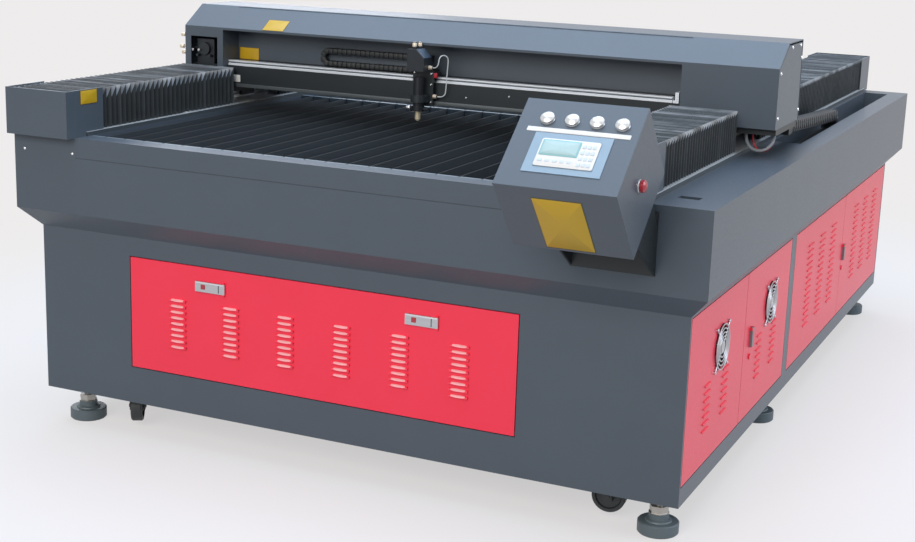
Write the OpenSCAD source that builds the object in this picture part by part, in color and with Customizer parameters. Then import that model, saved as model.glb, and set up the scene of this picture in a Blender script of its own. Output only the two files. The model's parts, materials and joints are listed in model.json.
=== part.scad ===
// Flat-bed laser cutting machine: cabinet, slatted bed, bridge with cutting head, console.
// Millimetres, +Z up, +Y to the back; the origin is on the floor under the middle of the machine.

/* [Cabinet] */
// Width of the cabinet
cabinet_w = 2140; // [2000:10:2300]
// Depth of the cabinet, front to back
cabinet_d = 2970; // [2800:10:3200]
// Height of the cabinet's lower edge above the floor
ground_gap = 120; // [110:2:150]
// Height of the cabinet walls
cabinet_h = 540; // [500:5:600]
// Thickness of the folded sheet steel
sheet = 3; // [2:0.5:4]
// Fold depth of the front, left and rear walls
wall_fold = 40; // [30:5:50]
// Fold depth of the right-hand door frame
frame_fold = 25; // [24:1:32]
// Height of the floor plate above the cabinet's lower edge
floor_rise = 46; // [40:1:55]
// Thickness of the floor plate
floor_t = 6; // [4:1:8]

/* [Tray] */
// Overhang of the tray past the cabinet on every side
tray_out = 56; // [40:2:70]
// Height of the slanted flare under the tray
flare_h = 62; // [40:2:80]
// Height of the tray's upright sides
tray_h = 240; // [220:5:260]
// Width of the front and rear tray beams past the cabinet's face
beam_depth = 12; // [10:1:30]
// Height of the seam line below the tray's top edge
seam_drop = 63; // [50:1:75]
// Thickness of the dust pan under the bed
pan_t = 6; // [4:1:8]
// Width of the drag chain trough
trough_w = 94; // [86:1:100]
// Width of the rim outside the trough
trough_rim = 70; // [60:1:76]
// Depth of the trough
trough_depth = 76; // [60:1:90]
// Front end of the trough, from the cabinet's front
trough_y = 1250; // [1200:10:1350]

/* [Bed] */
// Distance between neighbouring slats
slat_pitch = 71; // [60:1:90]
// Thickness of a slat
slat_t = 3; // [2:0.5:4]
// Height of a slat
slat_h = 53; // [45:1:60]
// Depth of the slats' top edge below the tray's top
slat_drop = 1; // [0.5:0.5:8]
// Thickness of a comb bar
comb_t = 18; // [12:1:26]
// Distance of the inner comb bar from the front one
comb_gap = 1290; // [1150:10:1500]
// Height of a comb bar
comb_h = 80; // [72:1:95]
// Side room of a slat in its comb slot
slat_room = 1; // [0.5:0.25:2]

/* [Guides] */
// Distance of the left guide rail from the cabinet's left side
left_rail_in = 64; // [62:1:70]
// Distance of the right guide rail from the cabinet's right side
right_rail_in = 241; // [238:1:248]
// Width of the bellows covers
cover_w = 232; // [228:1:236]
// Height of the bellows covers
cover_h = 145; // [140:1:152]
// Length of the bellows covers
cover_len = 180; // [160:5:200]
// Overhang of a cover past the tray's end face
cover_out = 39; // [20:1:45]
// Width of the bellows
bellows_w = 222; // [214:1:224]
// Height of the bellows' top above the ground plate
bellows_h = 130; // [122:1:132]
// Length of one bellows pleat
pleat = 25.5; // [22:0.5:36]
// Depth of a bellows pleat
pleat_depth = 14; // [10:1:18]
// Thickness of the bellows cloth
cloth = 3; // [2:0.5:4]
// Thickness of the ground plates under the rails
plate_t = 13; // [10:1:16]
// Strip of ground plate that shows beside the bellows
strip = 9; // [6:0.5:10]
// Width of a guide rail
rail_w = 23; // [20:1:28]
// Height of a guide rail
rail_h = 24; // [20:1:26]

/* [Doors] */
// Width of the front door's opening
front_open_w = 1318; // [1200:2:1400]
// Middle of the front door across the machine
front_open_x = -76; // [-90:1:-60]
// Height of the front wall under the door's opening
front_sill = 118; // [105:1:125]
// Height of the front wall over the door's opening
front_head = 60; // [50:1:80]
// Room around each door
door_gap = 3; // [2.5:0.25:4]
// Depth of a door's folded edge
door_fold = 20; // [18:1:23]
// Width of the frame in front of the first side door
frame_edge = 9; // [8:1:12]
// Middle of the frame's post between the door pairs
post_y = 1220; // [1180:5:1260]
// Width of that post
post_w = 65; // [50:1:80]
// Meeting line of the first pair of side doors
first_split = 610; // [590:5:640]
// Lower edge of the side openings above the cabinet's lower edge
side_sill = 55; // [52:1:65]
// Frame above the side openings
side_lintel = 5; // [5:1:10]
// Radius of the hinge pins
hinge_r = 4; // [3:0.25:4.5]
// Distance of the hinge axis from a door's face and edge
hinge_in = 6; // [5.5:0.25:6.5]
// Rows of louvres on the front door
front_rows = 9; // [6:1:9]
// Rows of louvres under a fan
fan_rows = 7; // [5:1:7]
// Rows of louvres on a rear side door
rear_rows = 14; // [10:1:14]
// Radius of a front louvre's hood
front_louvre_r = 7.5; // [4:0.25:8]
// Radius of a side louvre's hood
side_louvre_r = 5; // [4:0.25:6]

/* [Fans] */
// Side of the square fan housings
fan_size = 150; // [140:1:160]
// Pitch of the fan screws
fan_pitch = 124.5; // [118:0.5:130]
// Depth of the fan housings
fan_depth = 38; // [32:1:50]
// Radius of the fan's air passage
fan_r = 68; // [60:1:70]
// Distance of the fans' centres below the cabinet's top
fan_drop = 165; // [155:1:180]

/* [Bridge] */
// Front of the bridge at rest, from the cabinet's front
bridge_y = 840; // [820:1:880]
// Depth of the bridge, front to back
bridge_d = 315; // [290:1:340]
// Underside of the bridge's end boxes above the tray's top
bridge_lift = 93; // [88:1:100]
// Height of the end boxes' upright front
bridge_front_h = 188; // [175:1:200]
// Height of the hood's slope
slope_h = 71; // [60:1:85]
// Depth of the hood's slope
slope_d = 110; // [95:1:125]
// Overhang of the bridge's left end past the cabinet's side
bridge_out = 30; // [20:1:34]
// Distance of the bridge's right end from the cabinet's side
bridge_in = 10; // [4:1:14]
// Width of the left end box
left_box_w = 160; // [140:1:180]
// Width of the right end box
right_box_w = 307; // [295:1:315]
// Depth of the cross beam
beam_d = 78; // [76:1:100]
// Height of the cross beam
beam_h = 75; // [60:1:85]
// Distance of the cross beam behind the bridge's front
beam_in = 26; // [24:1:34]
// Thickness of the hood's sheet
hood_t = 3; // [2:0.5:4]
// Height of the cross rail
cross_rail_h = 18; // [14:1:20]
// Depth of the cross rail
cross_rail_d = 26; // [20:1:30]
// Radius of the laser tube
tube_r = 40; // [30:1:42]

/* [Head] */
// Place of the head across the machine at rest
head_x = -144; // [-260:1:-100]
// Width of the head's front plate
head_w = 76; // [70:1:90]
// Radius of the lens tube
lens_r = 17; // [14:0.5:19]
// Length of the lens tube above its nozzle
lens_len = 114; // [104:1:118]
// Length of the nozzle
nozzle_len = 34; // [28:1:36]
// Height of the nozzle's tip above the tray's top
nozzle_gap = 21; // [15:0.5:24]

/* [Chains] */
// Width of the long drag chain
y_chain_w = 60; // [50:1:70]
// Height of the long drag chain
y_chain_h = 42; // [34:1:46]
// Bend radius of the long drag chain
y_chain_r = 58; // [54:1:64]
// Middle of the long chain's loop, from the cabinet's front
y_loop = 1925; // [1900:5:2000]
// Fixed end of the long chain
y_chain_fix = 1430; // [1350:10:1500]
// Pitch of the long chain's links
y_link = 32; // [26:1:40]
// Width of the cross drag chain
x_chain_w = 30; // [24:1:34]
// Height of the cross drag chain
x_chain_h = 20; // [16:1:24]
// Bend radius of the cross drag chain
x_chain_r = 22; // [20:1:26]
// Middle of the cross chain's loop
x_loop = -552; // [-620:1:-520]
// Fixed end of the cross chain
x_chain_fix = -130; // [-200:5:-100]
// Pitch of the cross chain's links
x_link = 18; // [15:1:24]

/* [Console] */
// Distance of the console's left side from the cabinet's right side
console_in = 387; // [370:1:400]
// Width of the console
console_w = 317; // [300:1:340]
// Length of the console's sloped face
console_face = 282; // [270:1:300]
// Depth of the console behind its face
console_depth = 240; // [225:1:260]
// Slope of the console's face, degrees
console_tilt = 41; // [35:0.5:45]
// Height of the console's front edge above the tray's top
console_rise = 88; // [70:1:110]
// Room between the console and the bellows cover
console_room = 1; // [0.5:0.5:10]
// Pitch of the push buttons
button_pitch = 65; // [50:1:72]
// Radius of a push button's cap
button_r = 18; // [14:0.5:22]
// Radius of a push button's stem
stem_r = 9; // [7:0.5:11]
// Height of a push button above the face
button_h = 15; // [12:0.5:18]
// Radius of the stop button's head
stop_r = 16; // [13:0.5:20]

/* [Feet and casters] */
// Radius of a levelling foot's pad
pad_r = 59; // [50:1:65]
// Thickness of a levelling foot's pad
pad_t = 36; // [30:1:40]
// Radius of a foot's threaded stud
stud_r = 12; // [8:1:14]
// Distance of the feet from the cabinet's sides
foot_in_x = 82; // [75:1:90]
// Distance of the front and rear feet from the cabinet's faces
foot_in_y = 100; // [90:1:110]
// Radius of a caster wheel
wheel_r = 50; // [44:1:52]
// Width of a caster wheel
wheel_w = 36; // [28:1:40]
// Height of the wheels above the floor
wheel_lift = 22; // [18:1:35]
// Trail of the casters
trail = 30; // [24:1:36]
// Distance of the casters from the cabinet's sides
caster_in_x = 268; // [220:1:320]
// Distance of the casters from the cabinet's faces
caster_in_y = 125; // [120:1:150]

/* [Hidden] */
$fn = 48;

// Paint and metal colours
body_paint = "#4d555c";
door_red = "#d83248";
steel = "#c9ccce";
black = "#24282b";

// Clearances: running fits, close faces
run = 0.06;
near = 0.3;
// Overcut of subtracted shapes
over = 1;

// Cabinet and tray levels
cab_x = cabinet_w / 2;
cab_top = ground_gap + cabinet_h;
tray_z = cab_top + flare_h;
top = tray_z + tray_h;
tray_x = cab_x + tray_out;
floor_z = ground_gap + floor_rise;
floor_top = floor_z + floor_t;
left_rail_x = left_rail_in - cab_x;
right_rail_x = cab_x - right_rail_in;
console_x = cab_x - console_in;

// Middle of the footprint: the console's front edge to the rear covers
console_y = -tray_out - cover_out - console_room
  - console_face * cos(console_tilt) - console_depth * sin(console_tilt);
rear_end = cabinet_d + tray_out + cover_out;
mid_y = (console_y + rear_end) / 2;

// Bed between the side beams
bed_x0 = left_rail_x + cover_w / 2 + 5;
bed_x1 = right_rail_x - cover_w / 2 - 5;
bed_y0 = beam_depth;
bed_y1 = cabinet_d - beam_depth;
slat_top = top - slat_drop;
slat_n = floor((bed_x1 - bed_x0 - slat_pitch) / slat_pitch) + 1;
slat_x0 = (bed_x0 + bed_x1) / 2 - (slat_n - 1) * slat_pitch / 2;
comb_y = [bed_y0, bed_y0 + comb_gap, bed_y1 - comb_t];

// Guides
plate_top = top + plate_t;
rail_top = plate_top + rail_h;
rails_x = [left_rail_x, right_rail_x];
bellows_z0 = plate_top + 2;
bellows_z1 = plate_top + bellows_h;
cover_y0 = -tray_out - cover_out;
bellows_y0 = cover_y0 + sheet;
bellows_y1 = cabinet_d - bellows_y0;

// Trough for the long chain
trough_x1 = tray_x - trough_rim;
trough_x0 = trough_x1 - trough_w;
trough_z = top - trough_depth;

// Doors
side_z0 = ground_gap + side_sill;
side_z1 = cab_top - side_lintel;
fan_z = cab_top - fan_drop;
louvre_rise = 95;
louvre_head = 71;
louvre_z = side_z0 + louvre_rise;
fan_room = 1;
fan_louvre_pitch = (fan_z - fan_r - fan_room - louvre_z) / fan_rows;
rear_louvre_pitch = (side_z1 - louvre_head - louvre_z) / rear_rows;
side_open = [[frame_edge, post_y - post_w / 2], [post_y + post_w / 2, cabinet_d - frame_edge - 3]];
second_split = (side_open[1][0] + side_open[1][1]) / 2;
// Each side door: start, end, hinge side (-1 front edge, 1 rear edge), louvre columns, rows, row pitch
doors = [
  [side_open[0][0] + door_gap, first_split - door_gap / 2, -1, 2, fan_rows, fan_louvre_pitch],
  [first_split + door_gap / 2, side_open[0][1] - door_gap, 1, 2, fan_rows, fan_louvre_pitch],
  [side_open[1][0] + door_gap, second_split - door_gap / 2, -1, 3, rear_rows, rear_louvre_pitch],
  [second_split + door_gap / 2, side_open[1][1] - door_gap, 1, 3, rear_rows, rear_louvre_pitch]];
door_z0 = side_z0 + door_gap;
door_z1 = side_z1 - door_gap;
fan_shift = 28;
front_x0 = front_open_x - front_open_w / 2;
front_open_z = ground_gap + front_sill;
front_open_h = cabinet_h - front_sill - front_head;
pin_len = 16;
hinge_block = 14;

// Latches
lever_t = 8;
lever_pin = 2;
front_lever = [105, 32];
side_lever = [62, 20];
latch_in = 300;
front_latch_x = [front_x0 + latch_in + front_lever[0] / 2,
  front_x0 + front_open_w - latch_in + front_lever[0] / 2];
latch_drop = 62;
front_latch_z = front_open_z + front_open_h - latch_drop;
// Each side latch: place from the door's free edge, drop of its pin from the door's top
side_latch_in = [78, 24];
side_latch_drop = [188, 200];
side_latch_y = [doors[1][0] + side_latch_in[0], doors[3][0] + side_latch_in[1]];
side_latch_z = [for (d = side_latch_drop) door_z1 - d];

// Bridge
bridge_x0 = -cab_x - bridge_out;
bridge_x1 = cab_x - bridge_in;
bridge_z = top + bridge_lift;
bridge_y1 = bridge_y + bridge_d;
slope_z = bridge_z + bridge_front_h;
bridge_top = slope_z + slope_h;
left_box_x = bridge_x0 + left_box_w;
right_box_x = bridge_x1 - right_box_w;
beam_y = bridge_y + beam_in;
beam_drop = 21;
beam_z = bridge_z - beam_drop;
beam_top = beam_z + beam_h;
recess_y = beam_y + beam_d;
tube_y = (recess_y + bridge_y1) / 2 + 5;
tube_z = slope_z - 20;
cross_rail_y = beam_y + 8;
cross_rail_top = beam_top + cross_rail_h;
foot_w = 168;
block_w = 48;
block_len = 82;

// Head
head_plate_t = 10;
head_y = beam_y - 24;
lens_y = head_y - 34;
nozzle_z = top + nozzle_gap;
lens_z = nozzle_z + nozzle_len;
mirror_z = lens_z + lens_len;
mirror_side = 62;
mirror_h = 72;
mirror_cut = 30;
mirror_knobs = [[-14, -8], [-8, 20]];
knob_h = 22;
knob_r = 7;
nozzle_tip = 7;
nozzle_r = 9.5;

// Feet and casters
foot_at = [for (x = [-1, 1], y = [foot_in_y, post_y, cabinet_d - foot_in_y]) [x * (cab_x - foot_in_x), y]];
foot_hub_r = 29;
foot_hub_h = 25;
lock_h = 20;
axle_z = wheel_lift + wheel_r;
axle_r = 6;
king_r = 8;
caster_plate = 8;
fork_top = floor_z - caster_plate - near;
cheek_t = 5;
// Each caster: place across, place along, swivel at rest in degrees
casters = [[-cab_x + caster_in_x, caster_in_y, 209], [cab_x - caster_in_x, caster_in_y, 275],
  [-cab_x + caster_in_x, cabinet_d - caster_in_y, 180], [cab_x - caster_in_x, cabinet_d - caster_in_y, 150]];

// Routes of the two cable loops, from the bridge's right end and front and the beam's underside
grey_route = [[-105, 70, 0], [-105, 70, -14], [-100, 67, -32], [-86, 62, -48], [-62, 60, -55], [-38, 62, -48],
  [-23, 68, -32], [-18, 74, -14], [-18, 75, 0]];
red_route = [[-88, 86, 0], [-88, 86, -14], [-84, 85, -34], [-72, 84, -52], [-54, 84, -60], [-36, 86, -52],
  [-24, 90, -34], [-20, 92, -14], [-20, 92, 0]];
// Route of the air hose, from the head's middle, plate and the lens tube's lower end
hose_route = [[46, -20, 146], [54.6, -20, 147], [60.8, -20, 152.4], [64.8, -20, 159.6], [66, -19.6, 167.8],
  [66.8, -18.6, 176.2], [69.6, -15.8, 183.4], [74.2, -11.2, 188], [79.8, -5.6, 188.6], [85, -0.4, 185.4],
  [88.4, 3, 179], [89.4, 4.4, 171], [89.2, 4.8, 162.4], [88.6, 4.8, 153.8], [88, 4.8, 145.2],
  [87.2, 5, 136.6], [86.8, 5, 127.8], [86.2, 5, 119.2], [85.6, 5, 110.6], [85.2, 5, 102], [84.6, 5, 93.4],
  [84.2, 5, 84.8], [83.6, 5, 76.2], [83, 5, 67.6], [81, 5, 59.4], [76.2, 5, 52.8], [69, 5, 49.2],
  [60.6, 5, 48], [52, 5, 48]];
grey_r = 5;
red_r = 3;
hose_r = 2;
hose_fit_r = 6;

// Shared shapes

module block(x, y, z) translate([x[0], y[0], z[0]]) cube([x[1] - x[0], y[1] - y[0], z[1] - z[0]]);

// Extrude a drawing of (y, z) along X, or of (x, z) along Y
module along_x(x0, x1) translate([x0, 0, 0]) rotate([90, 0, 90]) linear_extrude(x1 - x0) children();
module along_y(y0, y1) translate([0, y1, 0]) rotate([90, 0, 0]) linear_extrude(y1 - y0) children();

module rod_x(x0, x1, y, z, r) translate([x0, y, z]) rotate([0, 90, 0]) cylinder(h = x1 - x0, r = r);
module rod_y(y0, y1, x, z, r) translate([x, y0, z]) rotate([-90, 0, 0]) cylinder(h = y1 - y0, r = r);
module rod_z(z0, z1, x, y, r) translate([x, y, z0]) cylinder(h = z1 - z0, r = r);

// A flat drawing from corner a to corner b, and one with rectangular holes [a, b]
module area(a, b) translate(a) square(b - a);
module plate_2d(a, b, holes) difference() {
  area(a, b);
  for (h = holes) area(h[0], h[1]);
}

// Flanges along the edges of a plate and of its holes
module flanges_2d(a, b, holes) difference() {
  plate_2d(a, b, holes);
  difference() {
    area(a + [sheet, sheet], b - [sheet, sheet]);
    for (h = holes) area(h[0] - [sheet, sheet], h[1] + [sheet, sheet]);
  }
}

// Cabinet

front_hole = [[front_x0, front_open_z], [front_x0 + front_open_w, front_open_z + front_open_h]];

module cabinet_front_wall() color(body_paint) {
  a = [-cab_x, ground_gap];
  b = [cab_x - frame_fold, cab_top];
  along_y(0, sheet) plate_2d(a, b, [front_hole]);
  along_y(0, wall_fold) flanges_2d(a, b, [front_hole]);
  z = front_open_z + door_gap + hinge_in;
  rod_x(front_x0 - sheet, front_x0 + pin_len, hinge_in, z, hinge_r);
  rod_x(front_x0 + front_open_w - pin_len, front_x0 + front_open_w + sheet, hinge_in, z, hinge_r);
}

module cabinet_left_wall() color(body_paint) {
  a = [wall_fold, ground_gap];
  b = [cabinet_d - wall_fold, cab_top];
  along_x(-cab_x, -cab_x + sheet) plate_2d(a, b, []);
  along_x(-cab_x, -cab_x + wall_fold) flanges_2d(a, b, []);
}

spigot_x = [-400, 400];
spigot_z = cab_top - 240;
spigot_r = 75;
spigot_len = 60;

module cabinet_rear_wall() color(body_paint) {
  a = [-cab_x, ground_gap];
  b = [cab_x - frame_fold, cab_top];
  difference() {
    union() {
      along_y(cabinet_d - sheet, cabinet_d) plate_2d(a, b, []);
      along_y(cabinet_d - wall_fold, cabinet_d) flanges_2d(a, b, []);
      for (x = spigot_x) rod_y(cabinet_d - sheet, cabinet_d + spigot_len, x, spigot_z, spigot_r);
    }
    for (x = spigot_x)
      rod_y(cabinet_d - sheet - over, cabinet_d + spigot_len + over, x, spigot_z, spigot_r - sheet);
  }
}

// Axis of a side door's hinge, along the machine
function hinge_y(d) = d[2] < 0 ? d[0] + hinge_in : d[1] - hinge_in;
hinge_x = cab_x - hinge_in;

module cabinet_right_frame() color(body_paint) {
  a = [0, ground_gap];
  b = [cabinet_d, cab_top];
  holes = [for (o = side_open) [[o[0], side_z0], [o[1], side_z1]]];
  along_x(cab_x - sheet, cab_x) plate_2d(a, b, holes);
  along_x(cab_x - frame_fold, cab_x) flanges_2d(a, b, holes);
  for (d = doors) {
    rod_z(side_z0 - sheet, side_z0 + pin_len, hinge_x, hinge_y(d), hinge_r);
    rod_z(side_z1 - pin_len, side_z1 + sheet, hinge_x, hinge_y(d), hinge_r);
  }
}

module cabinet_floor() color(body_paint) {
  difference() {
    block([-cab_x + wall_fold, cab_x - frame_fold - sheet], [wall_fold, cabinet_d - wall_fold],
      [floor_z, floor_top]);
    for (f = foot_at) rod_z(floor_z - over, floor_top + over, f[0], f[1], stud_r);
  }
  for (c = casters) {
    block([c[0] - 50, c[0] + 50], [c[1] - 42, c[1] + 42], [floor_z - caster_plate, floor_z + over]);
    rod_z(fork_top - 22, floor_z, c[0], c[1], king_r);
  }
}

// Laser supply on the floor, and a mounting plate with drives behind the rear side doors
supply = [320, 400, 190];
supply_in = [190, 260];
drive_in = 370;
drive_plate = [4, 680, 380];
drive = [60, 90, 150];
drive_pitch = 150;
duct = [50, 500, 90];

module electrics() color("#b8bcc0") {
  translate([cab_x - supply_in[0] - supply[0], supply_in[1], floor_top]) cube(supply);
  translate([cab_x - drive_in, post_y + post_w / 2 + wall_fold * 3, floor_top]) {
    translate([-drive_plate[0], 0, 0]) cube(drive_plate);
    for (i = [0 : 3]) translate([-over, drive[1] / 2 + i * drive_pitch, drive_plate[2] / 2]) cube(drive);
    translate([-over, (drive_plate[1] - duct[1]) / 2, duct[2] / 2]) cube(duct);
  }
}

// Tray

// Outline of the flared tray across the machine and along it
function flared(a, b) = [[a, cab_top], [a - tray_out, tray_z], [a - tray_out, top],
  [b + tray_out, top], [b + tray_out, tray_z], [b, cab_top]];

module tray_outline() intersection() {
  along_y(-tray_out, cabinet_d + tray_out) polygon(flared(-cab_x, cab_x));
  along_x(-tray_x, tray_x) polygon(flared(0, cabinet_d));
}

module tray_end_beams() color(body_paint) {
  groove = 2;
  difference() {
    tray_outline();
    block([-tray_x - over, tray_x + over], [bed_y0, bed_y1], [cab_top - over, top + over]);
    block([left_rail_x + cover_w / 2, right_rail_x], [-tray_out - over, -tray_out + groove],
      [top - seam_drop, top - seam_drop + groove]);
  }
}

module tray_left_beam() color(body_paint) {
  w = wall_fold;
  along_y(bed_y0, bed_y1) difference() {
    polygon([[-cab_x, cab_top], [-tray_x, tray_z], [-tray_x, top], [bed_x0, top], [bed_x0, tray_z],
      [-cab_x + w, tray_z], [-cab_x + w, cab_top]]);
    area([-tray_x + 4, tray_z + 4], [bed_x0 - 4, top - 4]);
  }
}

// Hand hole in the flat deck
hand_hole = [60, 35, 22];
hand_hole_at = [tray_x - 106, 85];

module tray_right_beam() color(body_paint) difference() {
  along_y(bed_y0, bed_y1) difference() {
    polygon([[cab_x, cab_top], [tray_x, tray_z], [tray_x, top], [bed_x1, top], [bed_x1, tray_z],
      [cab_x - frame_fold, tray_z], [cab_x - frame_fold, cab_top]]);
    area([bed_x1 + 4, tray_z + 4], [trough_x0 - 6, top - 4]);
  }
  block([trough_x0, trough_x1], [trough_y, bed_y1 - 30], [trough_z, top + over]);
  translate([hand_hole_at[0] - hand_hole[0] / 2, hand_hole_at[1] - hand_hole[1] / 2, top - hand_hole[2]])
    cube([hand_hole[0], hand_hole[1], hand_hole[2] + over]);
}

module dust_pan() color("#5a6066") block([bed_x0, bed_x1], [bed_y0, bed_y1], [tray_z, tray_z + pan_t]);

// Bed

module comb_bars() color("#9aa1a6") for (y = comb_y) along_y(y, y + comb_t) difference() {
  area([bed_x0, slat_top - comb_h], [bed_x1, slat_top]);
  for (i = [0 : slat_n - 1]) translate([slat_x0 + i * slat_pitch, 0])
    area([-slat_t / 2 - slat_room, slat_top - slat_h], [slat_t / 2 + slat_room, slat_top + over]);
}

module bed_slats() color("#3a3f43") for (i = [0 : slat_n - 1]) translate([slat_x0 + i * slat_pitch, 0, 0])
  block([-slat_t / 2, slat_t / 2], [bed_y0 + 1, bed_y1 - 1], [slat_top - slat_h, slat_top]);

// Guides

strip_screw_in = 150;

module long_rails() color(steel) for (x = rails_x) {
  difference() {
    block([x - bellows_w / 2, x + bellows_w / 2 + strip], [0, cabinet_d], [top, plate_top]);
    for (y = [0 : 4]) rod_z(plate_top - 6, plate_top + over, x + bellows_w / 2 + strip / 2,
      strip_screw_in + y * (cabinet_d - 2 * strip_screw_in) / 4, 2.5);
  }
  difference() {
    block([x - rail_w / 2, x + rail_w / 2], [10, cabinet_d - 10], [plate_top - over, rail_top]);
    for (s = [-1, 1]) translate([x + s * rail_w / 2, cabinet_d / 2, plate_top + rail_h * 0.55])
      rotate([0, 45, 0]) cube([7, cabinet_d, 7], center = true);
  }
}

// A cover is an upright plate with two side cheeks, open at the top and inside
module bellows_cover(x) {
  w = cover_w / 2;
  difference() {
    block([x - w, x + w], [cover_y0, cover_y0 + cover_len], [top, top + cover_h]);
    block([x - w + sheet, x + w - sheet], [cover_y0 + sheet, cover_y0 + cover_len + over],
      [top - over, top + cover_h + over]);
  }
}

module bellows_covers() color(body_paint) for (x = rails_x) {
  difference() {
    bellows_cover(x);
    // The right cover clears the ground plate's strip
    block([x - cover_w, x + cover_w], [-over, cabinet_d], [top - over, plate_top + near]);
  }
  translate([0, cabinet_d, 0]) mirror([0, 1, 0]) difference() {
    bellows_cover(x);
    block([x - cover_w, x + cover_w], [-over, cabinet_d], [top - over, plate_top + near]);
  }
}

// Folded cloth in the shape of an upturned U: rings of eight points, in and out by half a pleat
function u_ring(x, y, d) = let (w = bellows_w / 2 - d, h = bellows_z1 - d, c = cloth)
  [[x - w, y, bellows_z0], [x - w, y, h], [x + w, y, h], [x + w, y, bellows_z0],
   [x + w - c, y, bellows_z0], [x + w - c, y, h - c], [x - w + c, y, h - c], [x - w + c, y, bellows_z0]];

module pleated(x, y0, y1) {
  n = 2 * max(2, round((y1 - y0) / pleat));
  step = (y1 - y0) / n;
  points = [for (i = [0 : n]) each u_ring(x, y0 + i * step, i % 2 == 0 ? 0 : pleat_depth)];
  sides = [for (i = [0 : n - 1], k = [0 : 7]) let (a = 8 * i + k, b = 8 * i + (k + 1) % 8)
    each [[a, b, b + 8], [a, b + 8, a + 8]]];
  first = [[7, 6, 0], [0, 6, 1], [1, 6, 5], [1, 5, 2], [2, 5, 4], [2, 4, 3]];
  last = [for (f = first) [for (k = [2, 1, 0]) f[k] + 8 * n]];
  polyhedron(points, concat(sides, first, last));
}

module front_bellows() color(black) for (x = rails_x) pleated(x, bellows_y0, bridge_y - near);
module rear_bellows() color(black) for (x = rails_x) pleated(x, bridge_y1 + near, bellows_y1);

// Drag chains: links set along a flat route of a straight, a half turn and a straight back

// Place [along, height, angle] at distance s on a chain with a lower run, a bend of radius r and an upper run
function chain_at(s, lower, r) = s < lower ? [s, 0, 0]
  : s < lower + PI * r ? let (t = (s - lower) / r * 180 / PI) [lower + r * sin(t), r - r * cos(t), t]
  : [lower - (s - lower - PI * r), 2 * r, 180];

// Chain drawn in its own plane: the route runs along +x, bends up and comes back
module chain_2d(lower, upper, r, h, pitch) {
  core = h * 0.55;
  total = lower + upper + PI * r;
  n = floor(total / pitch);
  area([0, -core / 2], [lower, core / 2]);
  area([lower - upper, 2 * r - core / 2], [lower, 2 * r + core / 2]);
  intersection() {
    translate([lower, r]) difference() {
      circle(r + core / 2);
      circle(r - core / 2);
    }
    area([lower, -r], [lower + 2 * r, 3 * r]);
  }
  for (i = [0 : n - 1]) let (p = chain_at((i + 0.5) * total / n, lower, r))
    translate([p[0], p[1]]) rotate(p[2]) square([pitch * 0.84, h], center = true);
}

y_chain_x = (trough_x0 + trough_x1) / 2;
y_chain_z = trough_z + y_chain_h / 2 + 1 + near;
bracket_y = bridge_y1 + 22;

module long_drag_chain() color(black) translate([0, y_chain_fix, y_chain_z])
  along_x(y_chain_x - y_chain_w / 2, y_chain_x + y_chain_w / 2)
    chain_2d(y_loop - y_chain_fix, y_loop - bracket_y - near, y_chain_r, y_chain_h, y_link);

x_chain_y = recess_y - x_chain_w - 2;
x_chain_z = cross_rail_top + x_chain_h / 2 + 1;

module cross_drag_chain() color(black) translate([x_chain_fix, 0, x_chain_z]) mirror([1, 0, 0])
  along_y(x_chain_y, x_chain_y + x_chain_w)
    chain_2d(x_chain_fix - x_loop, head_x - head_w / 2 - x_loop - near, x_chain_r, x_chain_h, x_link);

// Console, in its own frame: origin at the front edge's left end, y up the face, z out of the face
module on_console() translate([console_x, console_y, top + console_rise])
  rotate([console_tilt, 0, 0]) children();

panel_size = [202, 126];
panel_at = [(console_w - panel_size[0]) / 2, 47];
panel_t = 2;
pad_size = [152, 88];
screen_size = [96, 46];
key_at = [109, 8];
key_pitch = [13, 19];
key_size = [9, 11];
button_y = 218;
button_shift = 12;
button_x0 = (console_w - 3 * button_pitch) / 2 + button_shift;
stop_at = [126, -108];
stem_len = 24;
press = 3;

module console_case() color(body_paint) on_console() difference() {
  block([0, console_w], [0, console_face], [-console_depth, 0]);
  for (i = [0 : 3]) rod_z(-stem_len - press - 1, over, button_x0 + i * button_pitch, button_y, stem_r + run);
  rod_x(console_w - stem_len - 6, console_w + over, stop_at[0], stop_at[1], stem_r + run);
}

// Panel: pale plate, key pad on it, screen frame on the pad
module control_panel() color("#b9d3ec") on_console() {
  translate([panel_at[0], panel_at[1], 0]) cube([panel_size[0], panel_size[1], panel_t]);
  pad = panel_at + (panel_size - pad_size) / 2;
  translate([pad[0], pad[1], panel_t]) difference() {
    cube([pad_size[0], pad_size[1], 2]);
    translate([6, pad_size[1] - screen_size[1] - 6, 1]) cube([screen_size[0], screen_size[1], 2]);
  }
  for (i = [0 : 2], j = [0 : 3])
    translate([pad[0] + key_at[0] + i * key_pitch[0], pad[1] + key_at[1] + j * key_pitch[1],
      panel_t + 2 - over]) cube([key_size[0], key_size[1], 1 + over]);
}

module push_button(i) color("#eceeee") on_console() translate([button_x0 + i * button_pitch, button_y, 0]) {
  translate([0, 0, press + 1]) rotate_extrude() intersection() {
    translate([0, button_h - press - 1 - 26]) circle(26);
    area([0, 0], [button_r, button_h]);
  }
  rod_z(-stem_len, press + 2, 0, 0, stem_r);
}

module stop_button() color("#c81d2b") on_console() translate([console_w, stop_at[0], stop_at[1]])
  rotate([0, 90, 0]) {
    translate([0, 0, 6]) rotate_extrude() intersection() {
      translate([0, 14 - 24]) circle(24);
      area([0, 0], [stop_r, 14]);
    }
    rod_z(-stem_len, 8, 0, 0, stem_r);
  }

// Bracket: two gussets between a plate on the tray and a plate under the console
bracket_t = 6;
// Its ends from the console's sides, and its reach along the console's underside and down the tray's face
bracket_in = [60, 20];
bracket_under = [60, 220];
bracket_down = [190, 20];
gusset_down = 64;

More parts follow.
